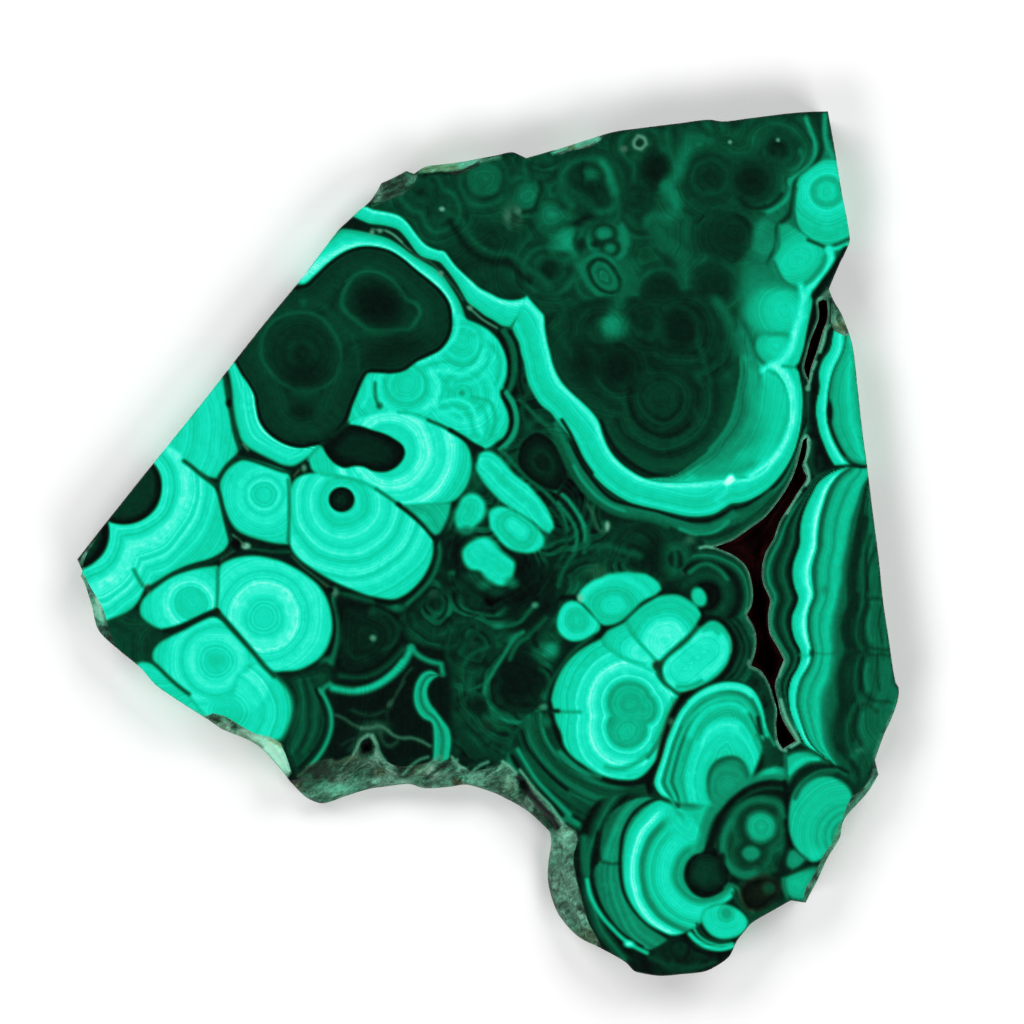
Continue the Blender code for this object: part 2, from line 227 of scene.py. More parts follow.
def smooth_line(points, step, closed=True, sharp_turn=SHARP_TURN):
    """Curve through the points, rounded except at sharp turns, sampled about every step."""
    count = len(points)
    if count < 3:
        return points
    before = points - np.roll(points, 1, axis=0)
    after = np.roll(points, -1, axis=0) - points
    cross = before[:, 0] * after[:, 1] - before[:, 1] * after[:, 0]
    sharp = np.abs(np.arctan2(cross, np.sum(before * after, axis=1))) > sharp_turn
    if not closed:
        sharp[0] = sharp[-1] = True
    pieces = []
    for i in range(count if closed else count - 1):
        start = points[i]
        end = points[(i + 1) % count]
        span = end - start
        length = math.hypot(*span)
        start_slope = end_slope = span
        if not sharp[i]:
            prior = points[i - 1]
            start_slope = (end - prior) * length / (length + math.hypot(*(start - prior)))
        if not sharp[(i + 1) % count]:
            later = points[(i + 2) % count]
            end_slope = (later - start) * length / (length + math.hypot(*(later - end)))
        parts = max(1, int(round(length / step)))
        t = (np.arange(parts) / parts)[:, None]
        piece = (2 * t**3 - 3 * t**2 + 1) * start + (t**3 - 2 * t**2 + t) * start_slope
        pieces.append(piece + (3 * t**2 - 2 * t**3) * end + (t**3 - t**2) * end_slope)
    if not closed:
        pieces.append(points[-1:])
    return np.vstack(pieces)


def inside(points, loop):
    """True for each point that lies inside the closed loop."""
    x = points[:, 0]
    y = points[:, 1]
    result = np.zeros(len(points), dtype=bool)
    for i in range(len(loop)):
        x0, y0 = loop[i - 1]
        x1, y1 = loop[i]
        if y1 != y0:
            crosses = (y0 > y) != (y1 > y)
            result ^= crosses & (x < (x1 - x0) * (y - y0) / (y1 - y0) + x0)
    return result


def distance_to(points, line, closed=True):
    """Distance of each point from a line."""
    x = points[:, 0]
    y = points[:, 1]
    if len(line) == 1:
        return np.hypot(x - line[0, 0], y - line[0, 1])
    best = np.full(len(points), np.inf)
    for i in range(len(line) if closed else len(line) - 1):
        x0, y0 = line[i]
        dx, dy = line[(i + 1) % len(line)] - line[i]
        size = dx * dx + dy * dy
        if size > 0.0:
            t = np.clip(((x - x0) * dx + (y - y0) * dy) / size, 0.0, 1.0)
            np.minimum(best, (x - x0 - t * dx) ** 2 + (y - y0 - t * dy) ** 2, out=best)
    return np.sqrt(best)


def inward_normals(loop):
    """Unit vectors that point to the inside of a loop that runs clockwise."""
    along = np.roll(loop, -1, axis=0) - np.roll(loop, 1, axis=0)
    along = along / np.maximum(np.hypot(along[:, 0], along[:, 1]), SAME_PLACE)[:, None]
    return np.column_stack([along[:, 1], -along[:, 0]])


def soft_normals(loop, rounds):
    """Inward vectors, averaged along the loop so that moved points don't cross at corners."""
    vectors = inward_normals(loop)
    for _ in range(rounds):
        vectors = 0.25 * np.roll(vectors, 1, axis=0) + 0.5 * vectors + 0.25 * np.roll(vectors, -1, axis=0)
    return vectors


def share_along(points):
    """Running length along the points, as a share from 0 to 1."""
    run = np.concatenate([[0.0], np.cumsum(np.hypot(*np.diff(points, axis=0).T))])
    return run / run[-1]


def value_noise(x, y, size, seed):
    """Smooth noise from -1 to 1 with lumps of the given size."""
    table = np.random.default_rng(seed).uniform(-1, 1, (NOISE_CELLS, NOISE_CELLS))
    u = x / size + NOISE_START[0]
    v = y / size + NOISE_START[1]
    column = np.floor(u).astype(int)
    row = np.floor(v).astype(int)
    across = ease(u - column)
    down = ease(v - row)
    left, right = column % NOISE_CELLS, (column + 1) % NOISE_CELLS
    upper, lower = row % NOISE_CELLS, (row + 1) % NOISE_CELLS
    top = table[upper, left] * (1 - across) + table[upper, right] * across
    low = table[lower, left] * (1 - across) + table[lower, right] * across
    return top * (1 - down) + low * down


def noise_layers(x, y, layers):
    """Sum of noises, each given as its strength, size and seed."""
    return sum(strength * value_noise(x, y, size, seed) for strength, size, seed in layers)


def line_noise(t, seed):
    """Smooth noise along one number, from -1 to 1."""
    table = np.random.default_rng(seed).uniform(-1, 1, LINE_NOISE_CELLS)
    cell = np.floor(t).astype(int)
    share = ease(t - cell)
    return table[cell % LINE_NOISE_CELLS] * (1 - share) + table[(cell + 1) % LINE_NOISE_CELLS] * share


def ease(t):
    """Soft step from 0 to 1."""
    t = np.clip(t, 0, 1)
    return t * t * (3 - 2 * t)


def lumps(x, y):
    """Uneven surface between about -1 and 1, with bumps a few millimetres apart."""
    x = x * MILLIMETRES
    y = y * MILLIMETRES
    value = 0.50 * np.sin(1.05 * x + 0.62 * y + 0.4) * np.cos(0.48 * x - 1.31 * y + 1.7)
    value = value + 0.32 * np.sin(2.30 * x - 1.55 * y + 2.2) * np.cos(1.45 * x + 2.10 * y)
    return value + 0.18 * np.sin(4.1 * x + 3.3 * y + 0.9)


def polished_edge(rim):
    """Edge of the polished face beside every rim point."""
    edge = rim + inward_normals(rim) * RIM_CHAMFER
    for stretch in RIND_STRETCHES:
        line = smooth_line(to_metres(stretch), RIM_STEP, closed=False)
        first = int(np.argmin(np.hypot(*(rim - line[0]).T)))
        last = int(np.argmin(np.hypot(*(rim - line[-1]).T)))
        count = (last - first) % len(rim) + 1
        chosen = (first + np.arange(count)) % len(rim)
        rim_share = share_along(rim[chosen])
        line_share = share_along(line)
        edge[chosen, 0] = np.interp(rim_share, line_share, line[:, 0])
        edge[chosen, 1] = np.interp(rim_share, line_share, line[:, 1])
    return edge


def away_from_sawn_edge(loop):
    """0 on the straight sawn edge and 1 elsewhere."""
    ends = to_metres(SAWN_EDGE)
    along = ends[1] - ends[0]
    length = float(np.hypot(*along))
    along = along / length
    offset = loop - ends[0]
    across = np.abs(offset[:, 0] * along[1] - offset[:, 1] * along[0])
    travel = offset @ along
    beside = (travel > -RIM_STEP) & (travel < length + RIM_STEP)
    return np.where(beside, np.clip(across / SAWN_REACH - 0.3, 0.0, 1.0), 1.0)


def rind_height(x, y, share, drop):
    """Height of the rind at a share of the way from the polished edge to the rim."""
    shelf = RIND_SHELF * np.sin(4.0 * math.pi * share)
    height = SLAB_THICKNESS - drop * (share + shelf)
    free = np.sin(math.pi * np.clip(share, 0.0, 1.0)) ** RIND_FULLNESS
    rough = np.clip(drop / FULL_LUMPS_DROP, 0.0, 1.0)
    height = height + RIND_LUMP_HEIGHT * lumps(x, y) * free * rough
    grain = noise_layers(x, y, RIND_GRAIN)
    height = height + RIND_GRAIN_HEIGHT * grain * free * np.clip(drop / FULL_GRAIN_DROP, 0.0, 1.0)
    for middle, half_widths, depth in RIND_PITS:
        centre = to_metres([middle])[0]
        across = (x - centre[0]) / (half_widths[0] * UNIT)
        along = (y - centre[1]) / (half_widths[1] * UNIT)
        sunk = depth * np.exp(-PIT_SHARPNESS * (across**2 + along**2))
        height = height - sunk * np.clip(2.0 * free, 0.0, 1.0)
    return np.minimum(height, SLAB_THICKNESS - LEAST_SINK * drop)


def outer_rings():
    """Rings of points from the polished edge over the rim to the underside, and the skin's share."""
    rim = smooth_line(to_metres(RIM), RIM_STEP)
    edge = polished_edge(rim)
    width = np.hypot(*(rim - edge).T)
    drop = np.minimum(RIND_STEEPNESS * width + RIND_LEAST_DROP, RIND_LARGEST_DROP)
    rings = []
    for share in RIND_LEVELS:
        flat = edge + (rim - edge) * share
        height = rind_height(flat[:, 0], flat[:, 1], np.full(len(rim), share), drop)
        if share == 0.0:
            height = np.full(len(rim), SLAB_THICKNESS)
        rings.append(np.column_stack([flat, height]))
    rim_height = rings[-1][:, 2]
    inward = soft_normals(rim, CORNER_SOFTENING)
    waves = SAWN_WAVE + (WALL_WAVE - SAWN_WAVE) * away_from_sawn_edge(rim)
    wall = 0.5 + 0.5 * lumps(rim[:, 0] + WALL_LUMP_SHIFT, rim[:, 1] * WALL_LUMP_STRETCH)
    base_inset = BASE_INSET + waves * wall
    middle_inset = WALL_BULGE * base_inset + waves * (1.0 - wall) * 0.5
    for level in WALL_LEVELS:
        inset = np.interp(level, (0.0, WALL_WAIST, 1.0), (1.0, 0.0, 0.0)) * (base_inset - middle_inset)
        inset = inset + np.interp(level, (WALL_WAIST, 1.0), (1.0, 0.0)) * middle_inset
        height = BASE_BEVEL_HEIGHT + (rim_height - BASE_BEVEL_HEIGHT) * level
        ripple = value_noise(rim[:, 0] + level * RIPPLE_SHIFT, rim[:, 1], RIPPLE_SIZE, RIPPLE_SEED)
        inset = inset + RIPPLE_SHARE * waves * (0.5 + 0.5 * ripple)
        rings.append(np.column_stack([rim + inward * inset[:, None], height]))
    low = rim + inward * base_inset[:, None]
    foot = rim + inward * (base_inset + BASE_BEVEL)[:, None]
    rings.append(np.column_stack([low, np.full(len(rim), BASE_BEVEL_HEIGHT)]))
    rings.append(np.column_stack([foot, np.zeros(len(rim))]))
    return rings, np.clip((width - SKIN_START) / SKIN_START, 0.0, 1.0)


def triangulate(loops, extra):
    """Triangles that fill the first loop around the others, using the extra points."""
    edges = []
    start = 0
    for loop in loops:
        count = len(loop)
        edges.extend((start + i, start + (i + 1) % count) for i in range(count))
        start += count
    every = np.vstack(list(loops) + [extra])
    corners = [Vector(point) for point in (every * MILLIMETRES).tolist()]
    _, _, faces, origins, _, _ = delaunay_2d_cdt(corners, edges, [], 0, TINY)
    flat = every[[origin[0] for origin in origins]]
    faces = np.array(faces)
    middles = flat[faces].mean(axis=1)
    keep = inside(middles, loops[0])
    for hole in loops[1:]:
        keep &= ~inside(middles, hole)
    a, b, c = (flat[faces[:, k]] for k in range(3))
    upward = (b[:, 0] - a[:, 0]) * (c[:, 1] - a[:, 1]) > (b[:, 1] - a[:, 1]) * (c[:, 0] - a[:, 0])
    faces[~upward] = faces[~upward][:, ::-1]
    return flat, faces[keep]


def grid_inside(outer, holes, step, clearance):
    """Grid points inside the outer loop that keep clear of every loop."""
    low = outer.min(axis=0)
    high = outer.max(axis=0)
    grid_x, grid_y = np.meshgrid(np.arange(low[0], high[0], step), np.arange(low[1], high[1], step))
    grid_x[1::2] += 0.5 * step
    points = np.column_stack([grid_x.ravel(), grid_y.ravel()])
    keep = inside(points, outer) & (distance_to(points, outer) > clearance)
    for hole in holes:
        keep &= ~inside(points, hole) & (distance_to(points, hole) > clearance)
    return points[keep]


def face_points(outer, holes):
    """Points on the polished face, dense where the painted tone bends and sparse elsewhere."""
    low = to_picture(outer).min(axis=0)
    high = to_picture(outer).max(axis=0)
    step = FACE_STEP
    margin = FACE_MARGIN * step
    columns, rows = (int((size + 2 * margin) / margin) * FACE_MARGIN + FACE_MARGIN + 1 for size in high - low)
    u, v = np.meshgrid(low[0] - margin + step * np.arange(columns), low[1] - margin + step * np.arange(rows))
    points = np.column_stack([u.ravel(), v.ravel()])
    metres = to_metres(points)
    usable = inside(metres, outer)
    for hole in holes:
        usable &= ~inside(metres, hole)
    canvas = Canvas(points[usable], BASE_TONE)
    paint(canvas)
    tone = np.full(len(points), np.nan)
    tone[usable] = canvas.tone
    tone = tone.reshape(u.shape)
    row, column = np.mgrid[0:u.shape[0], 0:u.shape[1]]
    order = np.full(u.shape, ALWAYS)
    for stride, lead in FACE_STRIDES:
        wide = 2 * stride
        bend = np.zeros(u.shape)
        for down, across in ((stride, 0), (0, stride), (stride, stride), (stride, -stride)):
            before = np.roll(tone, (down, across), axis=(0, 1))
            after = np.roll(tone, (-down, -across), axis=(0, 1))
            bend = np.maximum(bend, np.nan_to_num(np.abs(tone - 0.5 * (before + after)), nan=BEND_AT_EDGE))
        on = (row % stride == 0) & (column % stride == 0) & ~((row % wide == 0) & (column % wide == 0))
        order[on] = bend[on] + lead
    order = order.ravel()
    order[~usable] = -1.0
    count = min(FACE_POINTS, int(np.sum(usable)))
    limit = max(LEAST_BEND, np.partition(order, -count)[-count])
    chosen = metres[order > limit]
    clear = np.full(len(chosen), True)
    for loop in [outer] + list(holes):
        clear &= distance_to(chosen, loop) > EDGE_CLEARANCE * step * UNIT
    return chosen[clear]


# Picture units between the ring values of successive lines of a cell.
CELL_STEP = 37.0
# Size in picture units of the lumps that make the bands of each kind of shape uneven.
CELL_DRIFT = 22
SHELL_DRIFT = 17
GROWTH_DRIFT = 19
# Shift of the hairlines and of the two layers of fine bands for each step of the seed.
RING_SHIFT = 3.0
FINE_SHIFT = 3.1
FINER_SHIFT = 5.7
FINER_SEED = 11
# The second layer of fine bands against the first: how much denser, and how strong.
FINER_RATE = 2.1
FINER_SHARE = 0.6
CELL_FINER_RATE = 2.3
CELL_FINER_SHARE = 0.5
# Layers of a growth's blotches, as strength, size and step of the seed.
GROWTH_MOTTLE = ((1.0, 13, 3), (0.6, 5, 5))
# Cover from which a shape's own hairlines replace those under it.
HAIRLINE_COVER = 0.4
# Room round lines, outlines and spots in which points are looked at, in picture units.
LINE_ROOM = 3
OUTLINE_ROOM = 2
SPOT_ROOM = 1


class Canvas:
    """Tone, greyness and warmth of the stone at a set of points in picture units.

    The ring value grows by one for each picture unit across the bands, for the material's hairlines.
    A table holds one row for each shape, in the order of painting, and its further lines are indented:
        line WIDTH TONE SOFTNESS | points
        spot HALF_WIDTH HALF_HEIGHT TONE SOFTNESS | place
        cell | lines from the outline inwards, with / between them | bands
        strip | lines side by side, with / between them | bands
        shells | outline | bands | centre | rim
        growth | outline | bands | seeds
    Places are u,v pairs, a seed is u,v,radius, and bands and rims are pairs of place:tone. Settings such
    as grey=.6 may follow the first word: alpha is the shape's cover, grow how far it reaches past its
    outline, fine and period the strength and width of fine bands, cycles their number from one line of a
    cell to the next, wobble how far the bands drift, mottle the strength of blotches, and seed picks the
    noise.
    """

    def __init__(self, points, base):
        self.points = points
        self.tone = np.full(len(points), float(base))
        self.grey = np.zeros(len(points))
        self.warm = np.zeros(len(points))
        self.ring = np.zeros(len(points))

    def draw(self, table):
        """Draw every shape of a table."""
        for row in re.split(r"\n(?=\w)", re.sub("#.*", "", table).strip()):
            head, *parts = row.split("|")
            kind, *words = head.split()
            plain = [number(word) for word in words if "=" not in word]
            looks = dict(word.split("=") for word in words if "=" in word)
            looks = {name: number(value) for name, value in looks.items()}
            getattr(self, kind)(*parts, *plain, **looks)

    def near(self, line, margin):
        """Numbers of the points inside the line's box, widened by the margin."""
        low = line.min(axis=0) - margin
        high = line.max(axis=0) + margin
        return np.nonzero(np.all((self.points > low) & (self.points < high), axis=1))[0]

    def within(self, outline, soft, grow=0.0):
        """Points inside the outline or close to it, with their distance inside the grown outline."""
        chosen = self.near(outline, OUTLINE_ROOM + soft + grow)
        points = self.points[chosen]
        edge = distance_to(points, outline)
        edge = np.where(inside(points, outline), edge, -edge) + grow
        use = edge > -soft
        return chosen[use], points[use], edge[use]

    def blend(self, chosen, alpha, tone, grey, warm, ring=None):
        """Mix new values into the chosen points."""
        if ring is not None:
            self.ring[chosen] = np.where(alpha > HAIRLINE_COVER, ring, self.ring[chosen])
        self.tone[chosen] += (tone - self.tone[chosen]) * alpha
        self.grey[chosen] += (grey - self.grey[chosen]) * alpha
        self.warm[chosen] += (warm - self.warm[chosen]) * alpha

    def line(self, points, width, tone, soft, closed=False, alpha=1.0, grey=0.0, warm=0.0):
        """Draw a line with soft sides."""
        points = band_line(points, closed)
        chosen = self.near(points, width + soft + LINE_ROOM)
        reach = distance_to(self.points[chosen], points, closed)
        alpha = alpha * ease((0.5 * width + soft - reach) / (2 * soft))
        self.blend(chosen, alpha, tone, grey, warm)

    def spot(self, place, half_u, half_v, tone, soft, alpha=1.0, turn=0.0, grey=0.0, warm=0.0):
        """Draw an oval spot; soft is a share of its size."""
        place = numbers(place)
        reach = 2 * max(half_u, half_v)
        chosen = self.near(np.vstack([place - reach, place + reach]), SPOT_ROOM)
        x, y = turned(self.points[chosen] - place, turn)
        radius = np.hypot(x / half_u, y / half_v)
        alpha = alpha * ease((1 + soft - radius) / (2 * soft))
        self.blend(chosen, alpha, tone, grey, warm)

    def strip(self, lines, bands, **looks):
        """Fill the space between open lines that lie side by side."""
        self.cell(lines, bands, closed=False, **looks)

    def cell(self, lines, bands, soft=1.5, fine=0.0, seed=1, wobble=0.0, alpha=1.0, closed=True,
             cycles=14.0, grey=0.0, warm=0.0, grow=0.0):
        """Fill the space between successive lines with bands that follow them.

        Closed lines may end in single points. The bands give the tone at a place between the lines:
        0 is the first line, 1 the second and so on.
        """
        lines = [band_line(line, closed) for line in lines.split("/")]
        outline = lines[0] if closed else np.vstack([lines[0], lines[-1][::-1]])
        chosen, points, edge = self.within(outline, soft, grow)
        alpha = alpha * ease((edge + soft) / (2 * soft))
        moved = drifted(points, wobble, CELL_DRIFT, seed)
        place = np.zeros(len(points))
        ring = np.zeros(len(points))
        done = np.zeros(len(points), bool)
        for k, (upper, lower) in enumerate(zip(lines, lines[1:])):
            spots = closed and len(lower) <= MOST_SPOTS
            near_upper = distance_to(moved, upper, closed)
            if closed and k == 0:
                near_upper = np.where(edge < 0, 0, near_upper)
            if spots:
                near_lower = np.min([np.hypot(*(moved - spot).T) for spot in lower], axis=0)
                here = ~done
            elif closed:
                near_lower = distance_to(moved, lower)
                here = ~done & ~inside(moved, lower)
            else:
                near_lower = distance_to(moved, lower, False)
                here = ~done & inside(moved, np.vstack([upper, lower[::-1]]))
            place[here] = k + (near_upper / np.maximum(near_upper + near_lower, TINY))[here]
            ring[here] = near_upper[here] + CELL_STEP * k
            done |= here
            if closed and not spots and k == len(lines) - 2:
                rest = ~done
                place[rest] = k + 1 + near_lower[rest] / max(near_lower[rest].max(initial=TINY), TINY)
        if not closed:
            rest = ~done
            first = distance_to(moved[rest], lines[0], False) < distance_to(moved[rest], lines[-1], False)
            place[rest] = np.where(first, 0.0, len(lines) - 1.0)
        tone = profile(place, bands)
        if fine:
            tone = tone + fine * line_noise(place * cycles + seed * FINE_SHIFT, seed)
            finer = line_noise(place * cycles * CELL_FINER_RATE + seed * FINER_SHIFT, seed + FINER_SEED)
            tone = tone + CELL_FINER_SHARE * fine * finer
        self.blend(chosen, alpha, tone, grey, warm, ring + RING_SHIFT * seed)

    def shells(self, outline, bands, centre, rim="0:-40 3:0", drift=(0.0, 0.0), stretch=(1.0, 1.0), turn=0.0,
               soft=2.0, fine=7.0, period=3.2, seed=1, wobble=1.2, alpha=1.0, grow=1.5):
        """Fill an outline with round bands about a centre that moves by drift for each unit of radius.

        The bands give the tone at a radius, and the rim the change of tone at a distance inside the
        outline.
        """
        chosen, points, edge = self.within(band_line(outline, True), soft, grow)
        offset = drifted(points, wobble, SHELL_DRIFT, seed) - numbers(centre)
        x, y = turned(offset, turn)
        x, y = x / stretch[0], y / stretch[1]
        du, dv = drift
        room = 1.0 - du * du - dv * dv
        lead = x * du + y * dv
        radius = (np.sqrt(lead * lead + room * (x * x + y * y)) - lead) / room
        tone = banded(radius, bands, fine, period, seed) + profile(edge, rim)
        alpha = alpha * ease((edge + soft) / (2 * soft))
        self.blend(chosen, alpha, tone, 0.0, 0.0, radius + seed)

    def growth(self, outline, bands, seeds, soft=4.0, fine=12.0, period=5.0, seed=1, wobble=2.5, mottle=6.0,
               alpha=1.0, grow=0.0, grey=0.0, warm=0.0, joined=False):
        """Fill an outline with bands at equal distance from the nearest of many round seeds.

        The bands give the tone at a distance from the seeds' edges; inside a seed the distance is
        negative. Joined seeds make one line.
        """
        chosen, points, edge = self.within(band_line(outline, True), soft, grow)
        x, y = points.T
        moved = drifted(points, wobble, GROWTH_DRIFT, seed)
        seeds = numbers(seeds)
        if joined:
            reach = distance_to(moved, seeds[:, :2], False) - seeds[0, 2]
        else:
            reach = np.min([np.hypot(*(moved - (u, v)).T) - radius for u, v, radius in seeds], axis=0)
        tone = banded(reach, bands, fine, period, seed)
        layers = [(strength, size, seed + step) for strength, size, step in GROWTH_MOTTLE]
        tone = tone + mottle * noise_layers(x, y, layers)
        alpha = alpha * ease((edge + soft) / (2 * soft))
        self.blend(chosen, alpha, tone, grey, warm, reach + RING_SHIFT * seed)


def number(word):
    """Number, or several with commas between them."""
    if "," in word:
        return tuple(float(part) for part in word.split(","))
    return int(word) if word.isdigit() else float(word)


def numbers(text):
    """Rows of numbers, such as '10,20 30,40' or '0:26 1:40'."""
    return np.array([[float(part) for part in re.split("[,:]", word)] for word in text.split()])


def band_line(text, closed):
    """Rounded line through the places in the text."""
    line = numbers(text) if isinstance(text, str) else np.asarray(text, float)
    if len(line) < 3:
        return line
    return smooth_line(line, BAND_STEP, closed, SHARP_BAND_TURN)


def turned(offset, turn):
    """The two coordinates of an offset in axes turned by an angle."""
    x, y = offset.T
    c, s = math.cos(turn), math.sin(turn)
    return x * c + y * s, y * c - x * s


def drifted(points, wobble, size, seed):
    """Points moved a little by noise, so that bands run unevenly."""
    if not wobble:
        return points
    x, y = points.T
    return points + wobble * np.column_stack([value_noise(x, y, size, seed + k) for k in (0, 7)])


def profile(place, bands):
    """Tone of the bands at a place."""
    at, level = numbers(bands).T
    return np.interp(place, at, level)


def banded(place, bands, fine, period, seed):
    """Tone of the bands at a place, with fine uneven bands added."""
    tone = profile(place, bands)
    tone = tone + fine * line_noise(place / period + seed * FINE_SHIFT, seed)
    finer = line_noise(FINER_RATE * place / period + seed * FINER_SHIFT, seed + FINER_SEED)
    tone = tone + FINER_SHARE * fine * finer
    return np.minimum(tone, numbers(bands)[:, 1].max() + 1.0)


